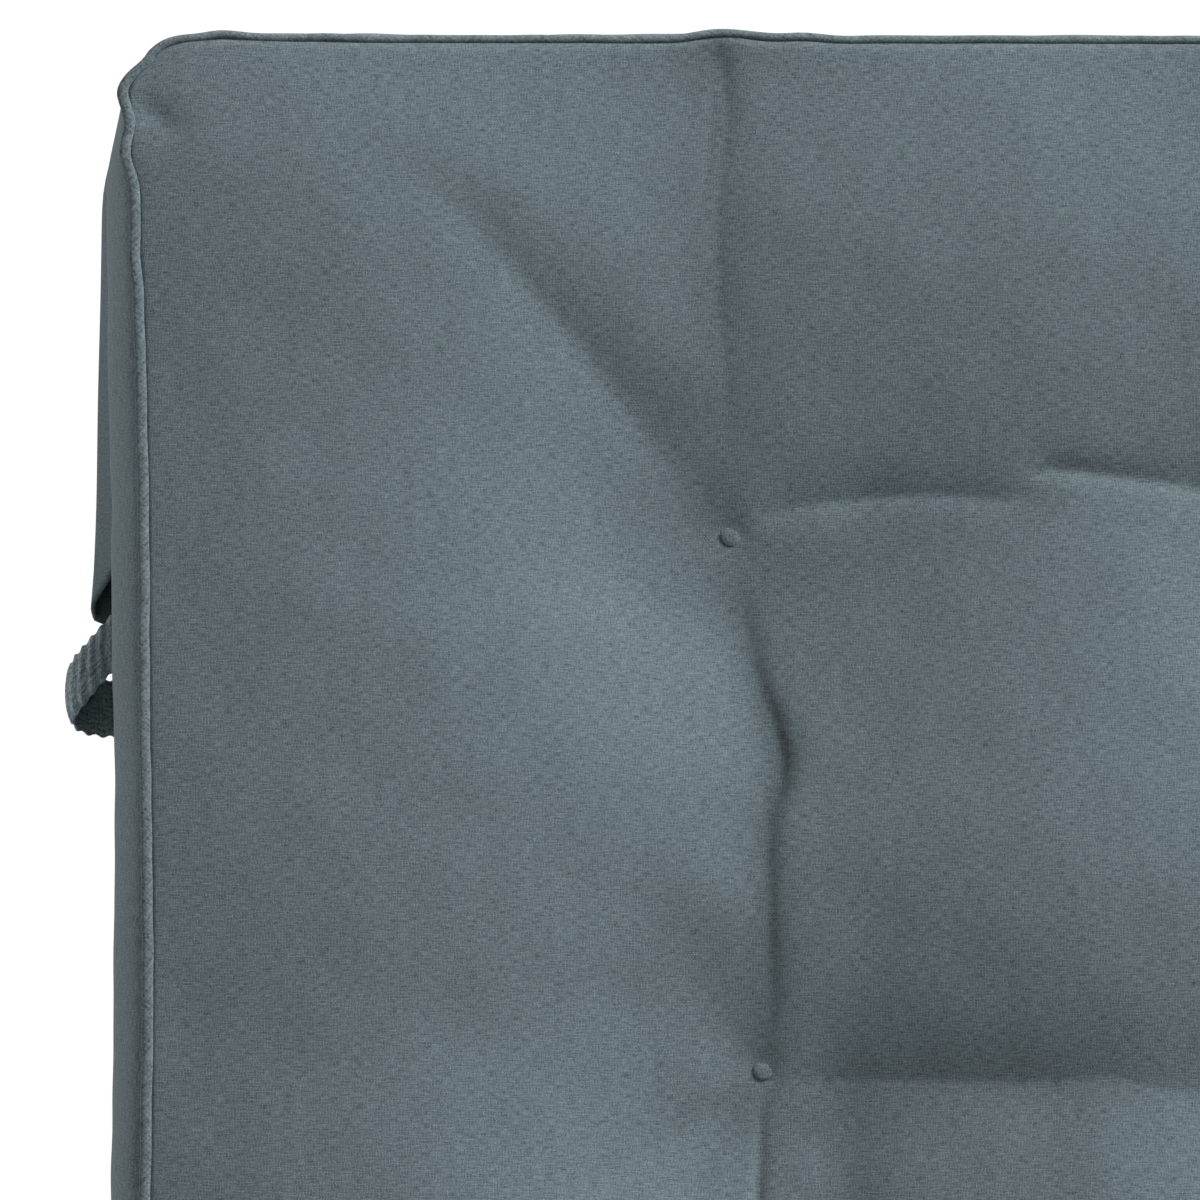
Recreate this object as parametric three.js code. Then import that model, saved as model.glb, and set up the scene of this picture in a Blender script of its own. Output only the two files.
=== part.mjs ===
// Sun lounger cushion, lying on its back: a filled pad with a button-tufted face and a boxing strip round
// its sides, piping in the seam of the face, a hood on the back of its head end and a ruched elastic strap.
// Millimetres. X runs across the cushion, +Y points to its head end, +Z points up out of its face.
import * as THREE from 'three';

// Pad
const WIDTH = 600;
const LENGTH = 1900;
const SEAM_HEIGHT = 62;
const CROWN = 15;
const EDGE_ROUND = 30;
const CORNER_RADIUS = 19;
const SEAM_INSET = 2.2;
const BACK_DIMPLE = 4;

// Height of the underside above the surface it lies on: the hood and the strap hold up the head end.
const HEAD_LIFT = 12;
const LIFT_FULL_TO = 252;
const LIFT_NONE_FROM = 520;

// Tufts: two columns, ten rows, counted from the head end.
const TUFT_COLUMN = 100;
const ROW_COUNT = 10;
const FIRST_ROW = 167;
const ROW_PITCH = (LENGTH - 2 * FIRST_ROW) / (ROW_COUNT - 1);
const TUFT_DEPTH = 16;
const TUFT_REACH = 26;
const SHIFT_REACH = 98;

// How the seam's wander fades inwards: a power of the distance from the middle, and a reach from the ends.
const WANDER_POWER = 4;
const WANDER_FADE = 110;

// Trim
const PIPING_RADIUS = 2;
const PIPING_SIDES = 6;
const PIPING_OUT = 0.5;
const PIPING_UP = 1.7;
const BUTTON_GAP = 0.75;
const BUTTON_SIDES = 10;

// Hood
const HOOD_SHEET = 1.6;
const HOOD_HEM_SHEET = 2.6;
const HOOD_HEM = 9;
const HOOD_SEAM_HEIGHT = 22;
const HOOD_SEAM_OUT = 2.8;
const HOOD_TUCK = 3;
const HOOD_DEPTH_BELOW = 188;
const HOOD_DEPTH_AT_SEAM = 167;
const HOOD_BULGE_AT_HEAD = 3.6;
const HOOD_BULGE_GROWTH = 5.6;
const HOOD_BULGE_POWER = 1.4;

// Strap
const STRAP_WIDTH = 20;
const STRAP_THICKNESS = 2.6;
const STRAP_GATHER = 5.5;
const STRAP_RIDGE = 0.5;

// Profile of a covered button: a low dome on a cone that is pulled into its dimple. Radius, height.
const BUTTON_PROFILE = [[0, 0], [4.2, 4.4], [3.9, 5.3], [2.4, 6.1], [0, 6.4]];

// Valleys of the face: depth at either end and half width. A crisp one has a sharp floor.
const ROW_VALLEY = { depths: [12.5, 12.5], reach: 30, crisp: true };
const COLUMN_VALLEY = { depths: [12, 12], reach: 32, crisp: true };
const SIDE_VALLEY = { depths: [10, 1.5], reach: 42, crisp: false };
const HEAD_PLEAT = { depths: [11, 6.5], reach: 30, crisp: true };
const CORNER_CREASE = { depths: [8, 1.5], reach: 15, crisp: false };

// Where they run: how much nearer the head a side valley meets the seam, in the first row and in the others,
// how far out from its tuft a head pleat meets the seam, and where a corner crease stops.
const FIRST_SIDE_RISE = 34;
const SIDE_RISE = 6;
const PLEAT_OUT = 4;
const CORNER_STOP = { fromSide: 82, fromEnd: 48 };

// Height lines of the boxing from the seam down to the underside: out from the outline, height above the
// underside, and how much of the wander of the face's seam the line follows.
const BOXING_LINES = [
  { out: -SEAM_INSET, up: SEAM_HEIGHT, follow: 1 },
  { out: 2.4, up: 56, follow: 0.7 },
  { out: 5.6, up: 36, follow: 0 },
  { out: 4.2, up: 16, follow: 0 },
  { out: 0, up: 4, follow: 0 },
  { out: -5, up: 0, follow: 0 },
];

// How far each tuft sits from its place in the even pattern.
const TUFT_SHIFTS = [
  { left: [-2.4, 2.7], right: [3, 2] },
  { left: [6.4, -0.7], right: [-4, -1] },
  { left: [-3, 2], right: [2, 3] },
  { left: [2, -3], right: [5, -2] },
  { left: [-4, 1], right: [-3, 2] },
  { left: [3, 3], right: [1, -3] },
  { left: [-2, -2], right: [4, 2] },
  { left: [4, 1], right: [-5, -1] },
  { left: [-3, -1], right: [2, 1] },
  { left: [2, 2], right: [-2, -2] },
];

// Places where the seam of the face wanders: which edge, where its middle is (from the head end on the
// sides, from the middle on the ends), how far it is drawn in, and the half length of the stretch.
const SEAM_WANDER = [
  { edge: 'left', at: 19, inward: -3.4, reach: 12 },
  { edge: 'left', at: 39, inward: -3, reach: 10 },
  { edge: 'left', at: 67, inward: -0.9, reach: 12 },
  { edge: 'left', at: 155, inward: 1.1, reach: 70 },
  { edge: 'left', at: 290, inward: 0.7, reach: 60 },
  { edge: 'left', at: 410, inward: -1.2, reach: 50 },
  { edge: 'left', at: 700, inward: 2.2, reach: 70 },
  { edge: 'left', at: 1210, inward: 1.6, reach: 80 },
  { edge: 'left', at: 1890, inward: -2.6, reach: 18 },
  { edge: 'right', at: 10, inward: -2.6, reach: 17 },
  { edge: 'right', at: 175, inward: 1.6, reach: 60 },
  { edge: 'right', at: 520, inward: 2, reach: 70 },
  { edge: 'right', at: 1390, inward: 2.2, reach: 80 },
  { edge: 'right', at: 1890, inward: -3, reach: 18 },
  { edge: 'head', at: 0, inward: -1.2, reach: 600 },
  { edge: 'head', at: -272, inward: -1.2, reach: 30 },
  { edge: 'head', at: -102, inward: -2.2, reach: 14 },
  { edge: 'head', at: 98, inward: -1.8, reach: 18 },
  { edge: 'foot', at: 0, inward: -1.2, reach: 600 },
  { edge: 'foot', at: -96, inward: -1.6, reach: 18 },
  { edge: 'foot', at: 104, inward: -2.3, reach: 16 },
];

// Stations of the hood's wall from its seam (1) to the floor (-1), and of its floor sheet across and along.
const HOOD_TURNS = [1, 0.6, 0.25, -0.1, -0.5, -1];
const HOOD_ACROSS = [-1, -0.85, -0.6, -0.35, -0.12, 0.12, 0.35, 0.6, 0.85, 1];
const HOOD_ALONG = [0, 0.22, 0.45, 0.7, 0.95, 1];
const HOOD_COLUMNS = 2 * (HOOD_TURNS.length - 1) + HOOD_ACROSS.length - 1;

// Mesh lines, as distances from the side and from the end, closer together at seams, creases and tufts.
const LINES_TO_COLUMN = [0, 5, 14, 28, 48, 76, 110, 145, 172, 188, 200];
const LINES_TO_MIDDLE = [212, 230, 262, 300];
const LINES_TO_FIRST_ROW = [0, 5, 13, 25, 42, 65, 92, 118, 140, 155, 167];
const LINES_OF_PITCH = [13, 42, 87, 132, 161, 174];

const across = acrossLines();
const along = alongLines();
const tufts = tuftTable();
const valleys = valleyTable();

function acrossLines() {
  const left = [...LINES_TO_COLUMN, ...LINES_TO_MIDDLE].map((d) => d - WIDTH / 2);
  const right = left.slice(0, -1).reverse().map((x) => -x);
  return [...left, ...right];
}

function alongLines() {
  const distances = [...LINES_TO_FIRST_ROW];
  for (let row = 1; row < ROW_COUNT; row++) {
    const start = FIRST_ROW + (row - 1) * ROW_PITCH;
    for (const step of LINES_OF_PITCH) distances.push(start + step);
  }
  const lastRow = LINES_TO_FIRST_ROW.slice(0, -1).reverse();
  for (const d of lastRow) distances.push(LENGTH - d);
  return distances.map((d) => LENGTH / 2 - d);
}

function tuftTable() {
  const table = [];
  TUFT_SHIFTS.forEach((shift, row) => {
    const y = LENGTH / 2 - FIRST_ROW - row * ROW_PITCH;
    table.push({ row, side: 'l', x: -TUFT_COLUMN, y, shift: shift.left });
    table.push({ row, side: 'r', x: TUFT_COLUMN, y, shift: shift.right });
  });
  return table;
}

function valleyTable() {
  const table = [];
  const add = (kind, from, to) => table.push({ ...kind, from, to });
  const lastRow = ROW_COUNT - 1;
  for (let row = 0; row < ROW_COUNT; row++) {
    const y = LENGTH / 2 - FIRST_ROW - row * ROW_PITCH;
    const rise = row === 0 ? FIRST_SIDE_RISE : SIDE_RISE;
    add(ROW_VALLEY, [-TUFT_COLUMN, y], [TUFT_COLUMN, y]);
    for (const side of [-1, 1]) {
      const tuft = [side * TUFT_COLUMN, y];
      add(SIDE_VALLEY, tuft, [side * (WIDTH / 2), y + rise]);
      if (row < lastRow) add(COLUMN_VALLEY, tuft, [side * TUFT_COLUMN, y - ROW_PITCH]);
    }
  }
  for (const end of [-1, 1]) {
    for (const side of [-1, 1]) {
      const tuft = [side * TUFT_COLUMN, end * (LENGTH / 2 - FIRST_ROW)];
      const stopX = side * (WIDTH / 2 - CORNER_STOP.fromSide);
      const stopY = end * (LENGTH / 2 - CORNER_STOP.fromEnd);
      add(HEAD_PLEAT, tuft, [side * (TUFT_COLUMN + PLEAT_OUT), end * (LENGTH / 2)]);
      add(CORNER_CREASE, tuft, [stopX, stopY]);
    }
  }
  return table;
}

function valleyDepth(valley, x, y) {
  const [x0, y0] = valley.from;
  const dx = valley.to[0] - x0;
  const dy = valley.to[1] - y0;
  const t = THREE.MathUtils.clamp(((x - x0) * dx + (y - y0) * dy) / (dx * dx + dy * dy), 0, 1);
  const away = Math.hypot(x - x0 - t * dx, y - y0 - t * dy) / valley.reach;
  const depth = THREE.MathUtils.lerp(valley.depths[0], valley.depths[1], t);
  return depth * Math.exp(valley.crisp ? -away : -away * away);
}

// Height of the face above the underside, at a place of the even pattern.
function faceHeight(x, y) {
  const fromSide = WIDTH / 2 - Math.abs(x);
  const fromEnd = LENGTH / 2 - Math.abs(y);
  const fullness = (1 - Math.exp(-fromSide / EDGE_ROUND)) * (1 - Math.exp(-fromEnd / EDGE_ROUND));
  let dips = 0;
  for (const valley of valleys) dips += valleyDepth(valley, x, y) ** 3;
  for (const tuft of tufts) {
    dips += (TUFT_DEPTH * Math.exp(-Math.hypot(x - tuft.x, y - tuft.y) / TUFT_REACH)) ** 3;
  }
  return SEAM_HEIGHT + fullness * (CROWN - Math.cbrt(dips));
}

function underside(y) {
  const fromHead = LENGTH / 2 - y;
  return HEAD_LIFT * (1 - THREE.MathUtils.smoothstep(fromHead, LIFT_FULL_TO, LIFT_NONE_FROM));
}

function roundedCorner(x, y) {
  const u = Math.abs(x) - (WIDTH / 2 - CORNER_RADIUS);
  const v = Math.abs(y) - (LENGTH / 2 - CORNER_RADIUS);
  if (u <= 0 || v <= 0) return [x, y];
  const span = 2 * CORNER_RADIUS ** 2;
  const roundU = u * Math.sqrt(1 - (v * v) / span);
  const roundV = v * Math.sqrt(1 - (u * u) / span);
  return [Math.sign(x) * (Math.abs(x) - u + roundU), Math.sign(y) * (Math.abs(y) - v + roundV)];
}

// How far the seam's wander moves a place of the face, fading from the edge inwards.
function seamWander(x, y) {
  let moveX = 0;
  let moveY = 0;
  const sideFade = (Math.abs(x) / (WIDTH / 2)) ** WANDER_POWER;
  const endFade = Math.max(0, 1 - (LENGTH / 2 - Math.abs(y)) / WANDER_FADE) ** 2;
  for (const wander of SEAM_WANDER) {
    const onSide = wander.edge === 'left' || wander.edge === 'right';
    const sign = wander.edge === 'left' || wander.edge === 'foot' ? -1 : 1;
    if (Math.sign(onSide ? x : y) !== sign) continue;
    const place = onSide ? LENGTH / 2 - y : x;
    const amount = wander.inward * Math.exp(-(((place - wander.at) / wander.reach) ** 2));
    if (onSide) moveX -= sign * amount * sideFade;
    else moveY -= sign * amount * endFade;
  }
  return [moveX, moveY];
}

// How far the tufts' own shifts move a place of the face: all of it at a tuft, none half way to the next.
function tuftShift(x, y) {
  let moveX = 0;
  let moveY = 0;
  for (const tuft of tufts) {
    const shareAcross = Math.max(0, 1 - Math.abs(x - tuft.x) / SHIFT_REACH);
    const shareAlong = Math.max(0, 1 - Math.abs(y - tuft.y) / ROW_PITCH);
    moveX += tuft.shift[0] * shareAcross * shareAlong;
    moveY += tuft.shift[1] * shareAcross * shareAlong;
  }
  return [moveX, moveY];
}

function facePlace(x, y) {
  const [roundX, roundY] = roundedCorner(x, y);
  const [wanderX, wanderY] = seamWander(x, y);
  const [shiftX, shiftY] = tuftShift(x, y);
  return [roundX + wanderX + shiftX, roundY + wanderY + shiftY];
}

// A place on the outline, with its outward direction.
function outlinePlace(x, y) {
  const [roundX, roundY] = roundedCorner(x, y);
  const centreX = Math.sign(x) * (WIDTH / 2 - CORNER_RADIUS);
  const centreY = Math.sign(y) * (LENGTH / 2 - CORNER_RADIUS);
  const inCorner = Math.abs(x) > Math.abs(centreX) && Math.abs(y) > Math.abs(centreY);
  const out = new THREE.Vector2(Math.abs(x) === WIDTH / 2 ? Math.sign(x) : 0, 0);
  if (out.x === 0) out.y = Math.sign(y);
  if (inCorner) out.set(roundX - centreX, roundY - centreY).normalize();
  return { x: roundX, y: roundY, out, wander: seamWander(x, y) };
}

// A mesh under construction: points and faces with their vertices anticlockwise seen from outside.
class Skin {
  constructor() {
    this.positions = [];
    this.index = [];
  }

  point(x, y, z) {
    this.positions.push(x, y, z);
    return this.positions.length / 3 - 1;
  }

  fan(...corners) {
    for (let k = 1; k < corners.length - 1; k++) this.index.push(corners[0], corners[k], corners[k + 1]);
  }

  geometry() {
    const geometry = new THREE.BufferGeometry();
    geometry.setAttribute('position', new THREE.Float32BufferAttribute(this.positions, 3));
    geometry.setIndex(this.index);
    geometry.computeVertexNormals();
    return geometry;
  }
}

// Steps round a cell of the back's coarser mesh, clockwise seen from above.
const CELL_RIM = [[0, 0], [1, 0], [2, 0], [2, 1], [2, 2], [1, 2], [0, 2], [0, 1]];

// The mesh's border as grid indices, anticlockwise seen from above, starting at the foot end's left corner.
function borderCells() {
  const right = across.length - 1;
  const foot = along.length - 1;
  const cells = [];
  for (let i = 0; i < right; i++) cells.push([i, foot]);
  for (let j = foot; j > 0; j--) cells.push([right, j]);
  for (let i = right; i > 0; i--) cells.push([i, 0]);
  for (let j = 0; j < foot; j++) cells.push([0, j]);
  return cells;
}

function boxingPoint(skin, i, j, line) {
  const place = outlinePlace(across[i], along[j]);
  const x = place.x + place.out.x * line.out + place.wander[0] * line.follow;
  const y = place.y + place.out.y * line.out + place.wander[1] * line.follow;
  return skin.point(x, y, underside(place.y) + line.up);
}

function cushionGeometry() {
  const skin = new Skin();
  const right = across.length - 1;
  const foot = along.length - 1;
  const border = borderCells();
  const isBorder = (i, j) => i === 0 || j === 0 || i === right || j === foot;
  const rings = BOXING_LINES.map((line) => border.map(([i, j]) => boxingPoint(skin, i, j, line)));
  const ringIndex = new Map(border.map(([i, j], k) => [`${i},${j}`, k]));

  const face = across.map((x, i) => along.map((y, j) => {
    if (isBorder(i, j)) return rings[0][ringIndex.get(`${i},${j}`)];
    const [placeX, placeY] = facePlace(x, y);
    return skin.point(placeX, placeY, underside(placeY) + faceHeight(x, y));
  }));
  for (let i = 0; i < right; i++) {
    for (let j = 0; j < foot; j++) {
      skin.fan(face[i][j + 1], face[i + 1][j + 1], face[i + 1][j], face[i][j]);
    }
  }

  for (let level = 0; level < rings.length - 1; level++) {
    border.forEach((cell, k) => {
      const next = (k + 1) % border.length;
      skin.fan(rings[level][k], rings[level + 1][k], rings[level + 1][next], rings[level][next]);
    });
  }

  // The back uses every second line of the mesh, and every line along its rim.
  const rim = rings[rings.length - 1];
  const isTuft = (x, y) => tufts.some((tuft) => Math.abs(tuft.x - x) < 1 && Math.abs(tuft.y - y) < 1);
  const back = across.map((x, i) => along.map((y, j) => {
    if (isBorder(i, j)) return rim[ringIndex.get(`${i},${j}`)];
    if (i % 2 || j % 2) return null;
    const [shiftX, shiftY] = tuftShift(x, y);
    return skin.point(x + shiftX, y + shiftY, underside(y + shiftY) + (isTuft(x, y) ? BACK_DIMPLE : 0));
  }));
  for (let i = 0; i < right; i += 2) {
    for (let j = 0; j < foot; j += 2) {
      const corners = CELL_RIM.map(([a, b]) => back[i + a][j + b]).filter((corner) => corner !== null);
      const inner = corners.findIndex((corner) => !rim.includes(corner));
      skin.fan(...corners.slice(inner), ...corners.slice(0, inner));
    }
  }
  return skin.geometry();
}

// Piping: a cord in the seam of the face, all the way round.
function pipingGeometry() {
  const skin = new Skin();
  const rings = borderCells().map(([i, j]) => {
    const place = outlinePlace(across[i], along[j]);
    const ring = [];
    for (let side = 0; side < PIPING_SIDES; side++) {
      const angle = (side / PIPING_SIDES) * 2 * Math.PI;
      const out = PIPING_OUT + PIPING_RADIUS * Math.cos(angle);
      const x = place.x + place.out.x * out + place.wander[0];
      const y = place.y + place.out.y * out + place.wander[1];
      const z = underside(place.y) + SEAM_HEIGHT + PIPING_UP + PIPING_RADIUS * Math.sin(angle);
      ring.push(skin.point(x, y, z));
    }
    return ring;
  });
  rings.forEach((ring, k) => {
    const next = rings[(k + 1) % rings.length];
    for (let side = 0; side < PIPING_SIDES; side++) {
      const up = (side + 1) % PIPING_SIDES;
      skin.fan(ring[side], next[side], next[up], ring[up]);
    }
  });
  return skin.geometry();
}

function buttonGeometry() {
  const profile = BUTTON_PROFILE.map(([r, up]) => new THREE.Vector2(r, up));
  return new THREE.LatheGeometry(profile, BUTTON_SIDES).rotateX(Math.PI / 2);
}

// Closes a grid of outer points and a grid of inner points into one sheet.
function sheetGeometry(outer, inner) {
  const skin = new Skin();
  const store = (grid) => grid.map((line) => line.map((p) => skin.point(p[0], p[1], p[2])));
  const a = store(outer);
  const b = store(inner);
  const last = a.length - 1;
  const end = a[0].length - 1;
  for (let i = 0; i < last; i++) {
    for (let j = 0; j < end; j++) {
      skin.fan(a[i][j], a[i + 1][j], a[i + 1][j + 1], a[i][j + 1]);
      skin.fan(b[i][j], b[i][j + 1], b[i + 1][j + 1], b[i + 1][j]);
    }
    skin.fan(a[i][0], b[i][0], b[i + 1][0], a[i + 1][0]);
    skin.fan(a[i][end], a[i + 1][end], b[i + 1][end], b[i][end]);
  }
  for (let j = 0; j < end; j++) {
    skin.fan(a[0][j], a[0][j + 1], b[0][j + 1], b[0][j]);
    skin.fan(a[last][j], b[last][j], b[last][j + 1], a[last][j + 1]);
  }
  return skin.geometry();
}

// Section of the hood's wall, from the seam on the boxing (turn 1) out and down to the floor (turn -1).
function hoodWall(turn, fromHead, inset) {
  const growth = (fromHead / HOOD_DEPTH_BELOW) ** HOOD_BULGE_POWER;
  const bulge = HOOD_BULGE_AT_HEAD + HOOD_BULGE_GROWTH * growth;
  const centre = turn > 0 ? HOOD_SEAM_OUT : -HOOD_TUCK;
  const angle = (turn * Math.PI) / 2;
  const half = HOOD_SEAM_HEIGHT / 2;
  const out = centre + (bulge - centre - inset) * Math.cos(angle);
  return { out, up: half + (half - inset) * Math.sin(angle) };
}

// A place on the hood. Line i counts in from the left seam and line j from the head end's seam; both first
// cross the wall, then the floor sheet.
function hoodPoint(i, j, isInner) {
  const wall = HOOD_TURNS.length - 1;
  const fromRight = HOOD_COLUMNS - i;
  const side = i < fromRight ? -1 : 1;
  const fromSide = Math.min(i, fromRight, wall);
  const fromHead = Math.min(j, wall);
  const level = Math.min(fromSide, fromHead);
  const turn = HOOD_TURNS[level];
  const share = HOOD_ALONG[Math.max(0, j - wall)];
  const mouth = THREE.MathUtils.lerp(HOOD_DEPTH_BELOW, HOOD_DEPTH_AT_SEAM, (1 + turn) / 2);
  const depth = CORNER_RADIUS + share * (mouth - CORNER_RADIUS);
  const sheet = depth >= mouth - HOOD_HEM ? HOOD_HEM_SHEET : HOOD_SHEET;
  const inset = isInner ? sheet : 0;
  const spread = HOOD_ACROSS[THREE.MathUtils.clamp(i - wall, 0, HOOD_ACROSS.length - 1)];
  const isFloorCorner = level === wall && j === wall && Math.abs(spread) === 1;

  if (isFloorCorner || (fromSide < wall && fromHead < wall)) {
    const angle = (Math.PI / 4) * (1 - (fromHead - fromSide) / Math.max(1, wall - level));
    const section = hoodWall(turn, CORNER_RADIUS * (1 - angle / (Math.PI / 2)), inset);
    const radius = CORNER_RADIUS + section.out;
    const x = WIDTH / 2 - CORNER_RADIUS + radius * Math.cos(angle);
    return [side * x, LENGTH / 2 - CORNER_RADIUS + radius * Math.sin(angle), section.up];
  }
  if (fromSide < wall) {
    const section = hoodWall(turn, depth, inset);
    return [side * (WIDTH / 2 + section.out), LENGTH / 2 - depth, section.up];
  }
  if (fromHead < wall) {
    const section = hoodWall(turn, 0, inset);
    return [spread * (WIDTH / 2 - CORNER_RADIUS), LENGTH / 2 + section.out, section.up];
  }
  return [spread * (WIDTH / 2 - HOOD_TUCK), LENGTH / 2 - (j === wall ? HOOD_TUCK : depth), inset];
}

function hoodGrid(isInner) {
  const rows = HOOD_TURNS.length + HOOD_ALONG.length - 1;
  return Array.from({ length: HOOD_COLUMNS + 1 }, (_, i) => (
    Array.from({ length: rows }, (unused, j) => hoodPoint(i, j, isInner))
  ));
}

function hoodGeometry() {
  return sheetGeometry(hoodGrid(false), hoodGrid(true));
}

// Middle line of the strap's left half, from where it is sewn on, round its loop and under the cushion:
// across, from the head end, height.
const STRAP_LEFT = [
  [-299.2, -193, 13.4],
  [-303.5, -196, 14.8],
  [-308, -200, 15],
  [-312.5, -204.5, 13.6],
  [-315.8, -208, 10.4],
  [-316, -210.5, 6.6],
  [-312.5, -212.6, 3.3],
  [-305, -213.8, 1.8],
  [-292, -214, 1.5],
  [-240, -214, 1.5],
  [-120, -214, 1.5],
];

function strapGeometry() {
  const left = STRAP_LEFT.map(([x, y, z]) => new THREE.Vector3(x, LENGTH / 2 + y, z));
  const right = left.map((p) => new THREE.Vector3(-p.x, p.y, p.z)).reverse();
  const path = new THREE.CatmullRomCurve3([...left, ...right], false, 'centripetal');
  const steps = 2 * Math.round(path.getLength() / STRAP_GATHER);
  const outer = [];
  const inner = [];
  const wide = new THREE.Vector3(0, 1, 0);
  for (let k = 0; k <= steps; k++) {
    const share = k / steps;
    const p = path.getPointAt(share);
    const normal = new THREE.Vector3().crossVectors(path.getTangentAt(share), wide).normalize();
    const ridge = k % 2 ? STRAP_RIDGE : 0;
    const half = STRAP_WIDTH / 2 - (k % 2 ? 0 : STRAP_RIDGE);
    const lift = STRAP_THICKNESS / 2 - STRAP_RIDGE + ridge;
    const edges = [-half, half];
    outer.push(edges.map((w) => [p.x + normal.x * lift, p.y + w, p.z + normal.z * lift]));
    inner.push(edges.map((w) => [p.x - normal.x * lift, p.y + w, p.z - normal.z * lift]));
  }
  return sheetGeometry(outer, inner);
}

function cloth(red, green, blue, roughness) {
  const color = new THREE.Color().setRGB(red / 255, green / 255, blue / 255, THREE.SRGBColorSpace);
  return new THREE.MeshStandardMaterial({ color, roughness, metalness: 0 });
}

function piece(name, geometry, material) {
  const mesh = new THREE.Mesh(geometry, material);
  mesh.name = name;
  return mesh;
}

const padCloth = cloth(97, 108, 112, 0.92);
const pipingCloth = cloth(103, 114, 118, 0.92);
const buttonCloth = cloth(95, 106, 110, 0.92);
const hoodCloth = cloth(88, 99, 103, 0.95);
const strapCloth = cloth(80, 91, 95, 0.95);

const loungerCushion = new THREE.Group();
loungerCushion.name = 'sun_lounger_cushion';
loungerCushion.add(piece('cushion', cushionGeometry(), padCloth));
loungerCushion.add(piece('face_piping', pipingGeometry(), pipingCloth));
loungerCushion.add(piece('hood', hoodGeometry(), hoodCloth));
loungerCushion.add(piece('strap', strapGeometry(), strapCloth));

const buttons = new THREE.Group();
for (const tuft of tufts) {
  const name = `button_${String(tuft.row + 1).padStart(2, '0')}_${tuft.side}`;
  const button = piece(name, buttonGeometry(), buttonCloth);
  const [x, y] = facePlace(tuft.x, tuft.y);
  button.position.set(x, y, underside(y) + faceHeight(tuft.x, tuft.y) + BUTTON_GAP);
  buttons.add(button);
}
loungerCushion.add(buttons);

export default loungerCushion;
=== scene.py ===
"""Sun lounger cushion in grey-blue cloth: a button-tufted pad with a piped face, a hood and a ruched strap.

Tables are in millimetres and the objects in metres. X runs across the cushion, +Y points to its head end and
+Z points up out of its face.
"""
import math

import bpy
import numpy as np
from mathutils import Matrix, Vector


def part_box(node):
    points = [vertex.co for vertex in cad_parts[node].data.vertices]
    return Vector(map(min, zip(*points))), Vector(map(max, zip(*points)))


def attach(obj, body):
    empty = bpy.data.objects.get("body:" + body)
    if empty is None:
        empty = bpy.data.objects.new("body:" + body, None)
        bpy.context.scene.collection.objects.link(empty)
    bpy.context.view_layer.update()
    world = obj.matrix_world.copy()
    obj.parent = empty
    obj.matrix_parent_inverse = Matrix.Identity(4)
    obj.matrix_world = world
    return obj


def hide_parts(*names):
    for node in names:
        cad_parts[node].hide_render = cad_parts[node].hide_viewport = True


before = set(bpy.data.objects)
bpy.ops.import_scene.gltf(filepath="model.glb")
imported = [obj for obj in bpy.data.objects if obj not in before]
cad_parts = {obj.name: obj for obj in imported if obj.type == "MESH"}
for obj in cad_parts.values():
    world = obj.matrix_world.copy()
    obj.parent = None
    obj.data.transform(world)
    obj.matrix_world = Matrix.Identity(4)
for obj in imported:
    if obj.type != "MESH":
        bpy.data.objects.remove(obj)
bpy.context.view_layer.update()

MM = 0.001

# Sizes of the pad, as the frame has them
BOXING_BULGE = 5.6
pad_low, pad_high = (np.array(corner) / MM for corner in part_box("cushion"))
HALF_WIDTH = round(pad_high[0] - BOXING_BULGE)
HALF_LENGTH = round(pad_high[1] - BOXING_BULGE)
SEAM_HEIGHT = 62.0
CORNER_RADIUS = 19.0
SEAM_INSET = 1.2
HEAD_LIFT, LIFT_FULL_TO, LIFT_NONE_FROM = 12.0, 252.0, 520.0
TUFT_ROWS = 10
BACK_DIMPLE, BACK_DIMPLE_REACH = 4.0, 16.0

# Lines of the pad's mesh: places and the step up to each, closest in the corner that shows every fold
ACROSS_STOPS = [
    (-300, 0), (-298.9, 1.1), (-281, 1.8), (-115, 3.1), (-78, 1.3), (100, 3.2), (281, 5.6), (298.9, 2.4),
    (300, 1.1),
]
ALONG_STOPS = [
    (950, 0), (949.6, 0.4), (948.2, 1.4), (931, 1.9), (815, 3.0), (775, 1.4), (618, 2.6), (596, 1.3),
    (555, 2.6), (-931, 6.8), (-948.2, 2.4), (-949.6, 1.4), (-950, 0.4),
]
BACK_STRIDE = 4

# Boxing from the seam of the face down to the rim of the back: out, height, share of the seam's wander
BOXING_LINES = [
    (-SEAM_INSET, SEAM_HEIGHT, 1), (0.4, 59.5, 0.9), (2.9, 55, 0.6), (BOXING_BULGE, 36, 0), (4.4, 16, 0),
    (0.6, 4.2, 0), (-5, 0, 0),
]
BOXING_STEPS = 16

# The boxing is taut at the corners and tucked in towards the back there, free from some way along
CORNER_TAUT, CORNER_FREE = 4.0, 44.0
CORNER_TUCK, TUCK_BELOW, TUCK_FULL_AT = 3.4, 36.0, 16.0

# Stretches where the boxing is fuller: middle from the head end, how much, half length
BOXING_FULLER = {
    "left": [(390, 2.4, 80), (980, 1.2, 150)],
    "right": [(560, 1.5, 140), (1330, 1.2, 160)],
}

# Puckers of the boxing: height, length and seed of their waves
PUCKERS = [(0.45, 95.0, 2.2), (0.2, 31.0, 0.4)]

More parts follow.
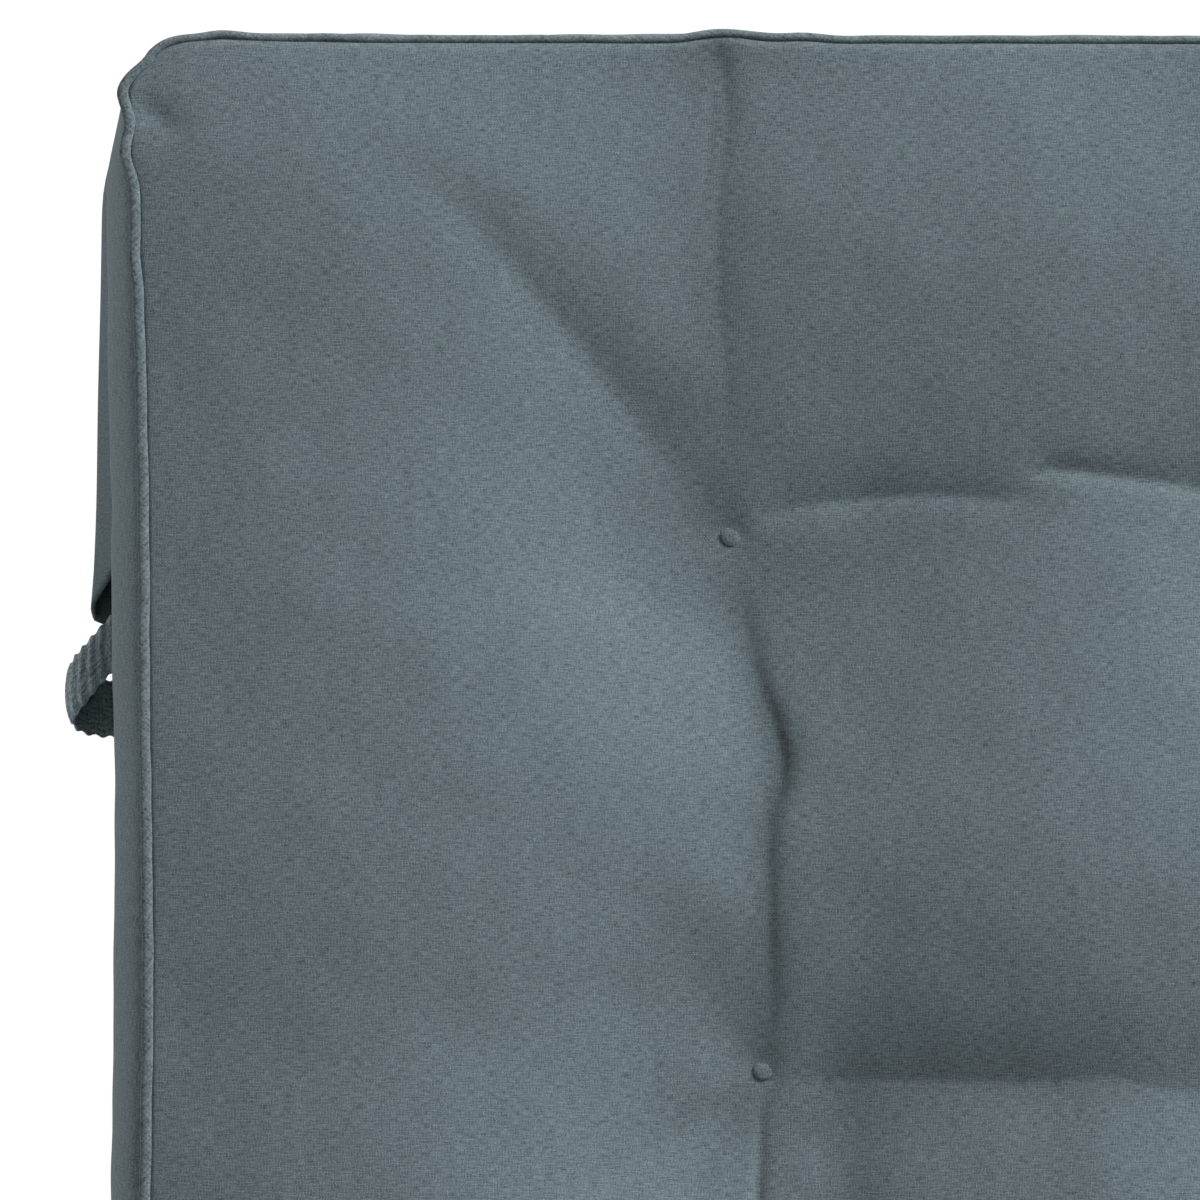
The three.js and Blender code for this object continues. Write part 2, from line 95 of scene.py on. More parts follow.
# Stretches where the seam of the face wanders: middle (from the head end, or on the ends from the cushion's
# middle), how far the seam is drawn in, half length
SEAM_WANDER = {
    "left": [(3, 1.2, 4), (19, -3.7, 11), (38.5, -3.3, 9), (67, -0.9, 12), (155, 1.1, 70), (290, 0.7, 60),
             (410, -1.2, 50), (700, 2.2, 70), (1210, 1.6, 80), (1890, -2.6, 18)],
    "right": [(10, -2.6, 17), (175, 1.6, 60), (520, 2.0, 70), (1390, 2.2, 80), (1890, -3.0, 18)],
    "head": [(-272, -1.2, 30), (-295, 0.2, 9), (-102, -2.2, 12), (-77, -0.8, 8), (98, -1.8, 18)],
    "foot": [(-96, -1.6, 18), (104, -2.3, 16)],
}

# How sharply the wander fades in from the sides, how far it reaches from the ends, how sharply it fades there
WANDER_FADE_SIDE, WANDER_REACH_END, WANDER_FADE_END = 4, 110.0, 2

# The two columns of buttons, with the side of the middle where each lies
SIDES = {"l": -1, "r": 1}

ON_EDGE = 1e-6

# Unevenness is made of waves in several directions: their number, turn, shift and pace
WAVES, WAVE_TURN, WAVE_SHIFT = 7, 2.399, 1.7
WAVE_PACE, WAVE_PACE_STEP = 0.7, 0.13

# Attribute of a mesh: how much painted shade each point takes, from 0 to 1, in a fold or on a sheet's inner side
PAINTED_SHADE_ATTRIBUTE = "painted_shade"


# Shared tools

def smoothstep(value, low, high):
    share = np.clip((value - low) / (high - low), 0.0, 1.0)
    return share * share * (3.0 - 2.0 * share)


def between(low, high, share):
    return low + (high - low) * share


def rise(distance, reach):
    """From 0 up towards 1, most of the way at the reach."""
    return 1 - np.exp(-distance / reach)


def hump(distance, reach):
    """1 in the middle, and down to nothing past the reach on either side."""
    return np.exp(-((distance / reach) ** 2))


def underside(y):
    """Height of the pad's back above the floor: the hood and the strap hold up the head end."""
    return HEAD_LIFT * (1.0 - smoothstep(HALF_LENGTH - y, LIFT_FULL_TO, LIFT_NONE_FROM))


def spline(points, count):
    """A smooth line through the points: count places evenly spread over its spans."""
    points = np.asarray(points, float)
    padded = np.vstack([2 * points[0] - points[1], points, 2 * points[-1] - points[-2]])
    at = np.linspace(0.0, len(points) - 1.0, count)
    span = np.minimum(at.astype(int), len(points) - 2)
    t = (at - span)[:, None]
    a, b, c, d = (padded[span + k] for k in range(4))
    return 0.5 * (2 * b + (c - a) * t + (2 * a - 5 * b + 4 * c - d) * t**2 + (3 * b - a - 3 * c + d) * t**3)


def run_length(points):
    """How far along the line through the points each of them lies."""
    return np.concatenate([[0], np.cumsum(np.linalg.norm(np.diff(points, axis=0), axis=1))])


def corner_slack(x, y):
    """How freely the boxing and the hood bulge: not at all at the corners, fully some way along."""
    return smoothstep(np.hypot(HALF_WIDTH - np.abs(x), HALF_LENGTH - np.abs(y)), CORNER_TAUT, CORNER_FREE)


def waviness(x, y, wavelength, seed):
    """Smooth unevenness between about -1 and 1, the same on each run."""
    total = np.zeros(np.broadcast(x, y).shape)
    for k in range(WAVES):
        turn = WAVE_TURN * k + seed
        pace = 2 * math.pi / wavelength * (WAVE_PACE + WAVE_PACE_STEP * k)
        total += np.sin((x * math.cos(turn) + y * math.sin(turn)) * pace + WAVE_SHIFT * k * seed)
    return total / (WAVES / 2)


def unevenness(x, y, waves):
    """Waves of several sizes on each other, each given by its height, its length and a seed."""
    return sum(height * waviness(x, y, length, seed) for height, length, seed in waves)


def add_object(name, data):
    obj = bpy.data.objects.new(name, data)
    bpy.context.scene.collection.objects.link(obj)
    return obj


class Skin:
    """A smooth mesh under construction: points and faces, and each face corner's place on the flat cloth."""

    def __init__(self):
        self.blocks, self.faces, self.cloth, self.size = [], [], [], 0

    def add_points(self, points):
        points = np.asarray(points, float).reshape(-1, 3)
        self.blocks.append(points)
        self.size += len(points)
        return np.arange(self.size - len(points), self.size)

    def add_grid(self, index, cloth, flip=False):
        """Quads between neighbours of a two-way table of point numbers; cloth has a place for each."""
        low, high = slice(None, -1), slice(1, None)
        rim = [(low, low), (high, low), (high, high), (low, high)]
        if flip:
            rim.reverse()
        corners = np.stack([index[part] for part in rim], -1).reshape(-1, 4)
        places = np.stack([cloth[part] for part in rim], -2).reshape(-1, 4, 2)
        self.faces.extend(corners.tolist())
        self.cloth.extend(places)

    def add_face(self, corners, places):
        self.faces.append(list(corners))
        self.cloth.append(np.asarray(places, float))

    def build(self, name, painted_shade=None):
        mesh = bpy.data.meshes.new(name)
        mesh.from_pydata((np.concatenate(self.blocks) * MM).tolist(), [], [list(face) for face in self.faces])
        uv = mesh.uv_layers.new(name="cloth")
        uv.data.foreach_set("uv", (np.concatenate(self.cloth) * MM).astype(np.float32).ravel())
        mesh.polygons.foreach_set("use_smooth", [True] * len(mesh.polygons))
        mesh.validate()
        mesh.update()
        # Each point's share of painted shade, which the material reads
        if painted_shade is not None:
            mesh.attributes.new(PAINTED_SHADE_ATTRIBUTE, "FLOAT", "POINT").data.foreach_set("value", painted_shade)
        return add_object(name, mesh)


# Outline of the pad

def rounded_corner(x, y):
    """Moves places of the even pattern so that its corners become round."""
    u = np.abs(x) - (HALF_WIDTH - CORNER_RADIUS)
    v = np.abs(y) - (HALF_LENGTH - CORNER_RADIUS)
    inside = (u > 0) & (v > 0)
    span = 2 * CORNER_RADIUS**2
    round_u = np.where(inside, u * np.sqrt(np.clip(1 - v * v / span, 0, 1)), u)
    round_v = np.where(inside, v * np.sqrt(np.clip(1 - u * u / span, 0, 1)), v)
    return np.sign(x) * (np.abs(x) - u + round_u), np.sign(y) * (np.abs(y) - v + round_v)


def along_edge(at, stretches):
    """What an edge's stretches come to at places along it."""
    return sum(amount * hump(at - middle, reach) for middle, amount, reach in stretches)


def seam_wander(x, y):
    """How far the seam's wander moves a place of the face, fading from the edge inwards."""
    left, right = (along_edge(HALF_LENGTH - y, SEAM_WANDER[edge]) for edge in ("left", "right"))
    head, foot = (along_edge(x, SEAM_WANDER[edge]) for edge in ("head", "foot"))
    side_fade = (np.abs(x) / HALF_WIDTH) ** WANDER_FADE_SIDE
    end_fade = np.clip(1 - (HALF_LENGTH - np.abs(y)) / WANDER_REACH_END, 0, 1) ** WANDER_FADE_END
    return np.where(x < 0, left, -right) * side_fade, np.where(y < 0, foot, -head) * end_fade


def boxing_fullness(x, y):
    left, right = (along_edge(HALF_LENGTH - y, BOXING_FULLER[edge]) for edge in ("left", "right"))
    return np.where(x < ON_EDGE - HALF_WIDTH, left, 0) + np.where(x > HALF_WIDTH - ON_EDGE, right, 0)


def outline(x, y):
    """Rounded outline at border places of the even pattern: places, outward directions, wander."""
    round_x, round_y = rounded_corner(x, y)
    from_x = round_x - np.sign(x) * (HALF_WIDTH - CORNER_RADIUS)
    from_y = round_y - np.sign(y) * (HALF_LENGTH - CORNER_RADIUS)
    on_side = np.abs(np.abs(x) - HALF_WIDTH) < ON_EDGE
    in_corner = (from_x * np.sign(x) > 0) & (from_y * np.sign(y) > 0)
    out_x = np.where(in_corner, from_x, np.where(on_side, np.sign(x), 0.0))
    out_y = np.where(in_corner, from_y, np.where(on_side, 0.0, np.sign(y)))
    out = np.stack([out_x, out_y], -1) / np.hypot(out_x, out_y)[:, None]
    return np.stack([round_x, round_y], -1), out, np.stack(seam_wander(x, y), -1)


def mesh_lines(stops):
    """Places from the first stop to the last, each stretch cut into even steps."""
    places = [np.array([stops[0][0]])]
    for (start, _), (end, step) in zip(stops, stops[1:]):
        count = max(1, round(abs(end - start) / step))
        places.append(np.linspace(start, end, count + 1)[1:])
    return np.concatenate(places)


def stride_up(places, stride):
    """Drops places near the far end until their number fits a mesh with every stride-th line."""
    spare = (len(places) - 1) % stride
    keep = np.ones(len(places), bool)
    keep[-4 - 2 * np.arange(spare)] = False
    return places[keep]


across = stride_up(mesh_lines(ACROSS_STOPS), BACK_STRIDE)
along = stride_up(mesh_lines(ALONG_STOPS), BACK_STRIDE)


def border():
    """The mesh's border, anticlockwise seen from above, from the foot end's left corner: cells as grid indices,
    and at each the place, outward direction, wander and way run so far."""
    right, foot = len(across) - 1, len(along) - 1
    cells = [(i, foot) for i in range(right)] + [(right, j) for j in range(foot, 0, -1)]
    cells += [(i, 0) for i in range(right, 0, -1)] + [(0, j) for j in range(foot)]
    edge, out, wander = outline(across[[i for i, _ in cells]], along[[j for _, j in cells]])
    return cells, edge, out, wander, run_length(np.vstack([edge, edge[:1]]))


# Relief of the face

def tuft_place(row, side):
    """Where a button sits, across and along, as the frame has it."""
    low, high = (np.array(corner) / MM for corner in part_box(f"button_{row:02d}_{side}"))
    return tuple((low[:2] + high[:2]) / 2)


TUFTS = {(row, side): tuft_place(row, side) for row in range(1, TUFT_ROWS + 1) for side in SIDES}

# The face swells like a bolster along each edge, from a small lip over the seam. At the sides the lip is lower and
# gains its full height some way in.
CROWN = 11.2
SWELL_REACH_SIDE, SWELL_REACH_END = 104.0, 76.0
LIP, LIP_SIDE, LIP_SIDE_RISE = 2.6, 1.5, 40.0
LIP_REACH_SIDE, LIP_REACH_END = 0.5, 0.7

# How far from the seams the relief fades, and how many times less far its narrow part does
RELIEF_FADE, NARROW_FADE_SHARE = 14.0, 2.2

# Unevenness of the face: height, length and seed of its waves
UNEVEN_FACE = [(0.5, 130.0, 1.3), (0.2, 38.0, 4.1)]

# Valleys across, from the left seam to the right one: place across, place along, depth, how far the valley reaches
# to the head and to the foot, how round its floor is on either side
FIRST_ROW = [
    (-300, 822, 0.6, 60, 60, 8, 8), (-260, 818, 0.6, 60, 60, 10, 10), (-200, 812, 1.8, 70, 60, 14, 14),
    (-155, 794, 6, 85, 90, 22, 26), (-125, 770, 8, 100, 110, 22, 36), (-103.5, 760.5, 10.6, 103, 120, 18, 38),
    (-82, 761.5, 14, 107, 135, 18, 38), (-60, 768.5, 15.2, 109, 150, 16, 32), (-30, 780, 13.4, 106, 150, 14, 26),
    (-5, 789, 11.8, 102, 150, 12, 20), (20, 798, 10.6, 98, 150, 6, 12), (45, 802, 10, 94, 150, 5, 12),
    (100, 785, 12, 85, 120, 10, 20), (150, 796, 7, 75, 70, 15, 15), (220, 812, 4, 60, 60, 12, 12),
    (300, 818, 1, 60, 60, 8, 8),
]
SECOND_ROW = [
    (-300, 613, 0.4, 50, 60, 8, 8), (-210, 611, 2.4, 70, 70, 12, 12), (-145, 602, 7.6, 92, 90, 16, 26),
    (-118, 588, 10, 100, 120, 12, 44), (-95, 579, 15, 118, 150, 16, 56), (-70, 578, 18.8, 122, 200, 16, 68),
    (-50, 583, 15.8, 122, 200, 20, 62), (0, 588, 12.8, 118, 195, 18, 54), (20, 592, 10.8, 112, 180, 14, 46),
    (50, 594, 10, 102, 170, 10, 34), (98, 600, 12, 90, 120, 12, 24), (150, 612, 8, 75, 70, 15, 15),
    (220, 616, 4, 60, 60, 12, 12), (300, 618, 1, 60, 60, 8, 8),
]

# Valleys along: place along, place across, depth, how far the valley reaches to the left and to the right, how
# round its floor is on either side
LEFT_COLUMN = [
    (960, -104, 4, 110, 120, 8, 4), (915, -106, 6.6, 110, 125, 26, 4), (870, -108, 9, 110, 125, 38, 3),
    (829, -109, 9.2, 110, 125, 46, 6), (800, -112, 8.2, 110, 125, 46, 12), (775, -112, 8.8, 112, 125, 44, 12),
    (755, -103, 11, 118, 125, 14, 6), (738, -98, 12, 118, 125, 6, 4), (718, -94.5, 12, 120, 125, 5, 5),
    (705, -93.5, 12, 120, 125, 8, 5), (690, -94.5, 12, 120, 125, 20, 4), (665, -95, 12, 120, 125, 30, 4),
    (645, -97, 11.8, 120, 124, 36, 4), (628, -101, 10.8, 118, 122, 48, 5), (604, -106, 8.4, 112, 120, 55, 14),
    (580, -106, 9.4, 110, 116, 48, 14), (550, -101, 12, 110, 112, 16, 8), (500, -98, 12, 110, 105, 8, 6),
    (435, -98, 12, 110, 105, 24, 10),
]

# Valleys across the corner of a panel: place across, place along, depth, and the same facts for left and right
CORNER_VALLEY = [
    (-226, 915, 0, 18, 40, 5, 8), (-189, 887, 1.6, 22, 50, 5, 8), (-159.5, 853.5, 3, 26, 62, 5, 8),
    (-132, 819, 3.5, 30, 62, 5, 12), (-117, 798, 2.6, 30, 52, 7, 16), (-104, 786, 0.5, 28, 44, 10, 16),
]
SECOND_TUFT_VALLEY = [
    (-152, 692, 0, 20, 50, 10, 14), (-138, 668, 1.6, 24, 50, 10, 14), (-124, 645, 2.7, 26, 50, 10, 14),
    (-110, 622, 2.7, 26, 46, 10, 14), (-99, 604, 0.4, 20, 40, 10, 14),
]

# Where the corner valley's tuft lies, from the middle, and how round the valley is in the other corners
CORNER_TUFT = (103.5, 785)
OTHER_ROUND = (7, 7)

# Narrow creases: how far each reaches to the left and to the right of the way it runs, then its places across and
# along, with depths. The first two are folds, into whose cloth shade is also painted.
HEAD_PLEAT = (5, 4, [
    (-105.3, 950, 1.5), (-103.7, 941.2, 1.4), (-102.4, 930.8, 1.1), (-103, 918.8, 0.9), (-105, 905, 0.7),
    (-106, 885, 0.7), (-105.4, 862.8, 0.6), (-104.4, 840, 0.4), (-103, 815, 0.1),
])
COLUMN_FOLD = (3.4, 8, [
    (-99, 768, 0.3), (-97, 757, 0.7), (-94.8, 745, 1.2), (-91.8, 734, 1.8), (-88.8, 725, 2.3), (-86.6, 716, 2.5),
    (-85.8, 709, 2.4), (-87, 701, 2.2), (-90, 693, 1.8), (-91, 685, 1.6), (-91.4, 672, 1.5), (-91.2, 655, 1.4),
    (-90.8, 640, 1.1), (-91, 626, 0.7), (-93, 612, 0.2),
])

# How far a fold's painted shade reaches, to the left and to the right of the way it runs, and the depth where the
# painted shade is darkest
FOLD_SHADE_REACH = (3, 8)
FOLD_SHADE_FULL_AT = 1.7
CREASES = [
    (6, 5, [(-214, 909, 0), (-203.5, 900.5, 0.3), (-188.5, 887.6, 0.7), (-172, 869, 1), (-158.5, 854.5, 1.1),
            (-145, 837, 0.9), (-131.3, 818.6, 0.6), (-118, 800, 0.2)]),
    HEAD_PLEAT,
    (1.6, 1.6, [(-107.1, 936.2, 0.3), (-107, 924.5, 0.6), (-108.4, 915.2, 0.8), (-109.3, 905.5, 0.6),
                (-109, 897, 0.2)]),
    (8, 6, [(-99, 786.7, 0.5), (-90.6, 792, 1.2), (-80.6, 794.7, 1.8), (-63.8, 797, 2.2), (-47.1, 798.4, 2.2),
            (-27.1, 798.4, 2), (-12.1, 797, 1.8), (-0.4, 799.7, 0.8), (8, 800.5, 0)]),
    (6, 4, [(-10, 801.5, 0), (-3.7, 803.4, 0.8), (1.3, 806, 1.8), (6.4, 806.7, 2.4), (13.7, 806.4, 2.6),
            (26.3, 804.7, 2.4), (42.3, 802.7, 2.2), (60, 799.5, 2), (80, 792, 1.4), (98, 785, 0.6)]),
    COLUMN_FOLD,
    (14, 26, [(-90, 602, 0.3), (-80, 604, 1.6), (-66, 604.6, 3), (-50, 604.4, 3.8), (-30, 603.8, 4),
              (-16.7, 603.4, 4), (4.6, 603.6, 3.8), (20, 604.8, 3.4), (33.3, 602.4, 3), (50, 600.4, 3),
              (75, 602, 1.6), (96, 606, 0.6)]),
    (4.5, 4.5, [(-298, 927, 2.4), (-294, 925, 2), (-288, 921, 1), (-280, 918, 0)]),
    (6, 8, [(-98.5, 602.5, 0.6), (-110.3, 594.2, 1.5), (-123.7, 585.8, 1.8), (-140.6, 575.8, 1.6),
            (-157.4, 564.1, 1.1), (-177.7, 549.1, 0.3)]),
    (5, 6, [(-101.8, 600.8, 0.4), (-110.4, 585.8, 1.1), (-117.3, 570.8, 1), (-120.9, 552, 0.3)]),
    (7, 7, [(-91.8, 600.8, 0.4), (-80.3, 589.2, 1), (-67.2, 575.8, 0.8), (-54.1, 559.1, 0.2)]),
]

# Pleat where another column meets an end seam: place across, distance from the end, depth. It ends at a tuft.
SEAM_PLEAT = [(101, 0, 3), (103, 40, 1.8), (104, 90, 0.8)]
SEAM_PLEAT_REACH, SEAM_PLEAT_STOPS = 3, 20

# Dimple under a button: a broad bowl, and a narrow one round the button's own seat
BOWL_DEPTH, BOWL_REACH, BOWL_ROUNDING, BOWL_SHIFT = 2.4, 60.0, 10.0, -10.0
SEAT_DEPTH, SEAT_REACH, SEAT_RADIUS = 1.4, 7.0, 3.6


def swell(from_side, from_end):
    """Height of the face above its seam, before its relief."""
    lip = LIP_SIDE * rise(from_side, LIP_REACH_SIDE) + (LIP - LIP_SIDE) * rise(from_side, LIP_SIDE_RISE)
    lip = lip * rise(from_end, LIP_REACH_END)
    shares = (np.clip(from_side / SWELL_REACH_SIDE, 0, 1), np.clip(from_end / SWELL_REACH_END, 0, 1))
    return lip + (CROWN - LIP) * (1 - (1 - shares[0]) ** 2) * (1 - (1 - shares[1]) ** 2)


def row_bow(row):
    """How far the valley of a row bows to the head end between its buttons."""
    return 5.0 * math.sin(2.1 * row)


def column_sway(row, sign):
    """How far the valley of a column sways to the right below a row."""
    return 3.5 * math.sin(3.3 * row + sign)


def row_valley(row):
    """The valley through the tufts of a row further down, on the pattern of the first two."""
    (left_x, left_y), (right_x, right_y) = (TUFTS[row, side] for side in SIDES)
    bow = row_bow(row)
    return [
        (-300, left_y + 5, 0.8, 50, 60, 8, 8), (-205, left_y + 5, 4, 60, 70, 12, 12),
        (-140, left_y + 3 + 0.3 * bow, 9, 90, 85, 20, 28), (left_x, left_y, 13, 95, 125, 14, 36),
        (-50, left_y + 2 + 0.4 * bow, 13, 90, 150, 5, 20), (0, (left_y + right_y) / 2 + bow, 13.2, 85, 160, 4, 18),
        (50, right_y + 2 - 0.3 * bow, 13, 85, 150, 5, 16), (right_x, right_y, 13, 85, 120, 12, 24),
        (150, right_y + 4 - 0.3 * bow, 8, 75, 75, 15, 18), (220, right_y + 6, 4, 60, 60, 12, 12),
        (300, right_y + 6, 1, 60, 60, 8, 8),
    ]


def column_valley(side):
    """The valley through a column's tufts, from the head end to the foot end."""
    sign = SIDES[side]
    at_seam = sign * 102, 6, 108, 108, 6, 4
    run = [(HALF_LENGTH + 10, *at_seam)]
    for row in range(1, TUFT_ROWS + 1):
        x, y = TUFTS[row, side]
        run.append((y, x, 12.5, 112, 106, 32, 10))
        if row < TUFT_ROWS:
            sway = column_sway(row, sign)
            run.append((y - 62, x + sway, 12, 112, 106, 10, 4))
            run.append((y - 112, x + 0.6 * sway, 12, 112, 106, 8, 3))
    run.append((-HALF_LENGTH - 10, *at_seam))
    if side == "l":
        below = LEFT_COLUMN[-1][0] - 40
        run = LEFT_COLUMN + [place for place in run if place[0] < below]
    return run


def along_run(at, run):
    """What a run says at each place, from a smooth line through its own places."""
    line = spline(run, PLACES_A_STOP * len(run))
    if line[0, 0] > line[-1, 0]:
        line = line[::-1]
    return [np.interp(at, line[:, 0], line[:, k]) for k in range(1, line.shape[1])]


def valley_depth(off, depth, reach_low, reach_high, round_low, round_high):
    """Depth at a distance off a valley's floor, which is above 0 on the valley's high side."""
    high = off > 0
    rounding = np.where(high, round_high, round_low)
    away = np.sqrt(off**2 + rounding**2) - rounding
    share = np.clip(1 - away / np.where(high, reach_high, reach_low), 0, 1)
    return np.maximum(depth, 0) * share ** np.where(high, VALLEY_POWER_HIGH, VALLEY_POWER_LOW)


def near_run(x, y, run, samples):
    """How far places are from a run, whether on its left, and what the run says at its nearest place."""
    run = spline(run, samples)
    nearest = np.full(x.shape, 1e9)
    left = np.zeros(x.shape, bool)
    facts = np.zeros(x.shape + (run.shape[1] - 2,))
    for start, end in zip(run, run[1:]):
        step = end[:2] - start[:2]
        share = np.clip(((x - start[0]) * step[0] + (y - start[1]) * step[1]) / (step @ step), 0, 1)
        off_x, off_y = x - start[0] - share * step[0], y - start[1] - share * step[1]
        away = np.hypot(off_x, off_y)
        closer = away < nearest
        nearest = np.where(closer, away, nearest)
        left = np.where(closer, step[0] * off_y > step[1] * off_x, left)
        facts = np.where(closer[..., None], start[2:] + share[..., None] * (end - start)[2:], facts)
    return nearest, left, facts


def other_corners():
    """Valleys in the other three corners, and the pleats where columns meet the end seams there."""
    valleys, creases = [], []
    for end in (1, -1):
        for side, sign in SIDES.items():
            if (end, side) == (1, "l"):
                continue
            tuft_x, tuft_y = TUFTS[1 if end > 0 else TUFT_ROWS, side]
            move = (sign * tuft_x - CORNER_TUFT[0], end * tuft_y - CORNER_TUFT[1])
            turn = sign * end > 0
            last = len(CORNER_VALLEY) - 1
            valleys.append([
                (sign * (move[0] * k / last - x), end * (move[1] * k / last + y), depth,
                 *((right, left) if turn else (left, right)), *OTHER_ROUND)
                for k, (x, y, depth, left, right, _, _) in enumerate(CORNER_VALLEY)])
            pleat = [(sign * x, end * (HALF_LENGTH - from_end), depth) for x, from_end, depth in SEAM_PLEAT]
            pleat.append((tuft_x, tuft_y + end * SEAM_PLEAT_STOPS, pleat[-1][2]))
            creases.append((SEAM_PLEAT_REACH, SEAM_PLEAT_REACH, pleat))
    return valleys, creases


def row_creases():
    """Creases further down, along the rows and down the columns, on the pattern of the first ones."""
    creases = []
    for row in range(3, TUFT_ROWS + 1):
        (left_x, left_y), (right_x, right_y) = (TUFTS[row, side] for side in SIDES)
        bow = row_bow(row)
        deep = 4.5 + 1.5 * math.sin(1.7 * row)
        creases.append((8, 2.6, [
            (left_x + 5, left_y + 1, 1), (-60, left_y + 2 + 0.4 * bow, deep),
            (0, (left_y + right_y) / 2 + bow, deep), (55, right_y + 2 - 0.3 * bow, 0.7 * deep),
            (right_x - 4, right_y + 1, 1),
        ]))
    for row in range(1, TUFT_ROWS):
        for side, sign in SIDES.items():
            if (row, side) == (1, "l"):
                continue
            x, y = TUFTS[row, side]
            far_x, far_y = TUFTS[row + 1, side]
            sway = column_sway(row, sign)
            deep = 3.2 + 2.2 * math.sin(2.3 * row + sign)
            creases.append((2.6, 2.4, [
                (x, y - 8, 0.6), (x + 0.8 * sway, y - 45, 1.8), (x + sway, y - 75, deep),
                (x + 0.7 * sway, y - 110, 2), (far_x, far_y + 10, 1),
            ]))
    return creases


# The broad part of the relief is worked out on an even table, smoothed there, and read from it anywhere
BLEND = 1.3
VALLEY_POWER_LOW, VALLEY_POWER_HIGH = 2.0, 2.1
TABLE_STEP, TABLE_SMOOTHING = 3.0, 2
PLACES_A_STOP, CORNER_VALLEY_PLACES = 30, 40

# The narrow part is worked out at each point of the mesh
CREASE_POWER, CREASE_LEAD = 1.2, 3
CREASE_MARGIN, CREASE_PLACES = 4, 8


def smoothed(table, times):
    """The table with each place evened out with its neighbours."""
    for _ in range(times):
        for axis in (0, 1):
            wide = np.concatenate([table.take([0], axis), table, table.take([-1], axis)], axis)
            low, middle, high = (wide.take(np.arange(k, k + table.shape[axis]), axis) for k in range(3))
            table = (low + 2 * middle + high) / 4
    return table


def read_table(table, x, y):
    """The table's value between its places, by a smooth curve through four of them each way."""
    value = 0.0
    weights = []
    for at, start, count in ((x, -HALF_WIDTH, table.shape[0]), (y, -HALF_LENGTH, table.shape[1])):
        place = np.clip((at - start) / TABLE_STEP, 0, count - 1.001)
        low = place.astype(int)
        t = place - low
        shares = (-t + 2 * t**2 - t**3, 2 - 5 * t**2 + 3 * t**3, t + 4 * t**2 - 3 * t**3, t**3 - t**2)
        weights.append([(np.clip(low + k - 1, 0, count - 1), share / 2) for k, share in enumerate(shares)])
    for row, across_share in weights[0]:
        for column, along_share in weights[1]:
            value = value + table[row, column] * across_share * along_share
    return value


def broad_table():
    """Depth of the face's valleys and of the bowls under its buttons."""
    x, y = np.meshgrid(*(TABLE_STEP * np.arange(round(2 * half / TABLE_STEP) + 1) - half
                         for half in (HALF_WIDTH, HALF_LENGTH)), indexing="ij")
    total = np.zeros(x.shape)
    for run in [FIRST_ROW, SECOND_ROW, *(row_valley(row) for row in range(3, TUFT_ROWS + 1))]:
        place, depth, head, foot, round_head, round_foot = along_run(x, run)
        total += valley_depth(y - place, depth, foot, head, round_foot, round_head) ** BLEND
    for side in SIDES:
        place, *facts = along_run(y, column_valley(side))
        total += valley_depth(x - place, *facts) ** BLEND
    total = total ** (1 / BLEND)
    for tuft_x, tuft_y in TUFTS.values():
        off_x, off_y = x - tuft_x - BOWL_SHIFT, y - tuft_y - BOWL_SHIFT
        away = np.sqrt(off_x**2 + off_y**2 + BOWL_ROUNDING**2) - BOWL_ROUNDING
        total += BOWL_DEPTH * np.clip(1 - away / BOWL_REACH, 0, 1) ** 2
    for run in [CORNER_VALLEY, SECOND_TUFT_VALLEY, *other_corners()[0]]:
        away, left, facts = near_run(x, y, run, CORNER_VALLEY_PLACES)
        total += valley_depth(np.where(left, -away, away), *np.moveaxis(facts, -1, 0))
    return smoothed(total, TABLE_SMOOTHING)


BROAD = broad_table()


def crease_relief(x, y, creases):
    """The creases' depths raised to a power and added up, so that the deepest one leads."""
    total = np.zeros(x.shape)
    for reach_left, reach_right, run in creases:
        margin = CREASE_MARGIN * max(reach_left, reach_right)
        low, high = np.min(run, axis=0) - margin, np.max(run, axis=0) + margin
        near = (x > low[0]) & (x < high[0]) & (y > low[1]) & (y < high[1])
        away, left, facts = near_run(x[near], y[near], run, CREASE_PLACES * len(run))
        reach = np.where(left, reach_left, reach_right)
        depth = np.maximum(facts[..., 0], 0) * np.exp(-((away / reach) ** CREASE_POWER))
        total[near] += depth**CREASE_LEAD
    return total


def painted_fold_shade(x, y):
    """How deep in a fold each place of the face lies, from 0 to 1: the share of painted shade its cloth takes."""
    folds = [(*FOLD_SHADE_REACH, run) for _, _, run in (HEAD_PLEAT, COLUMN_FOLD)]
    return np.clip(np.cbrt(crease_relief(x, y, folds)) / FOLD_SHADE_FULL_AT, 0, 1)


def narrow_relief(x, y):
    """Depth of the creases and of the buttons' own seats."""
    total = crease_relief(x, y, [*CREASES, *other_corners()[1], *row_creases()])
    for tuft_x, tuft_y in TUFTS.values():
        away = np.maximum(np.hypot(x - tuft_x, y - tuft_y) - SEAT_RADIUS, 0)
        total += (SEAT_DEPTH * np.exp(-away / SEAT_REACH)) ** CREASE_LEAD
    return np.cbrt(total)


def face_height(x, y, place_x, place_y):
    """Height of the face above the back, at a place of the even pattern and where the seams have moved it."""
    from_side = HALF_WIDTH - np.abs(x)
    from_end = HALF_LENGTH - np.abs(y)
    share = rise(from_side, RELIEF_FADE) * rise(from_end, RELIEF_FADE)
    broad = share * (read_table(BROAD, place_x, place_y) - unevenness(place_x, place_y, UNEVEN_FACE))
    narrow = np.minimum(share * NARROW_FADE_SHARE, 1) * narrow_relief(place_x, place_y)
    return SEAM_HEIGHT + swell(from_side, from_end) - broad - narrow


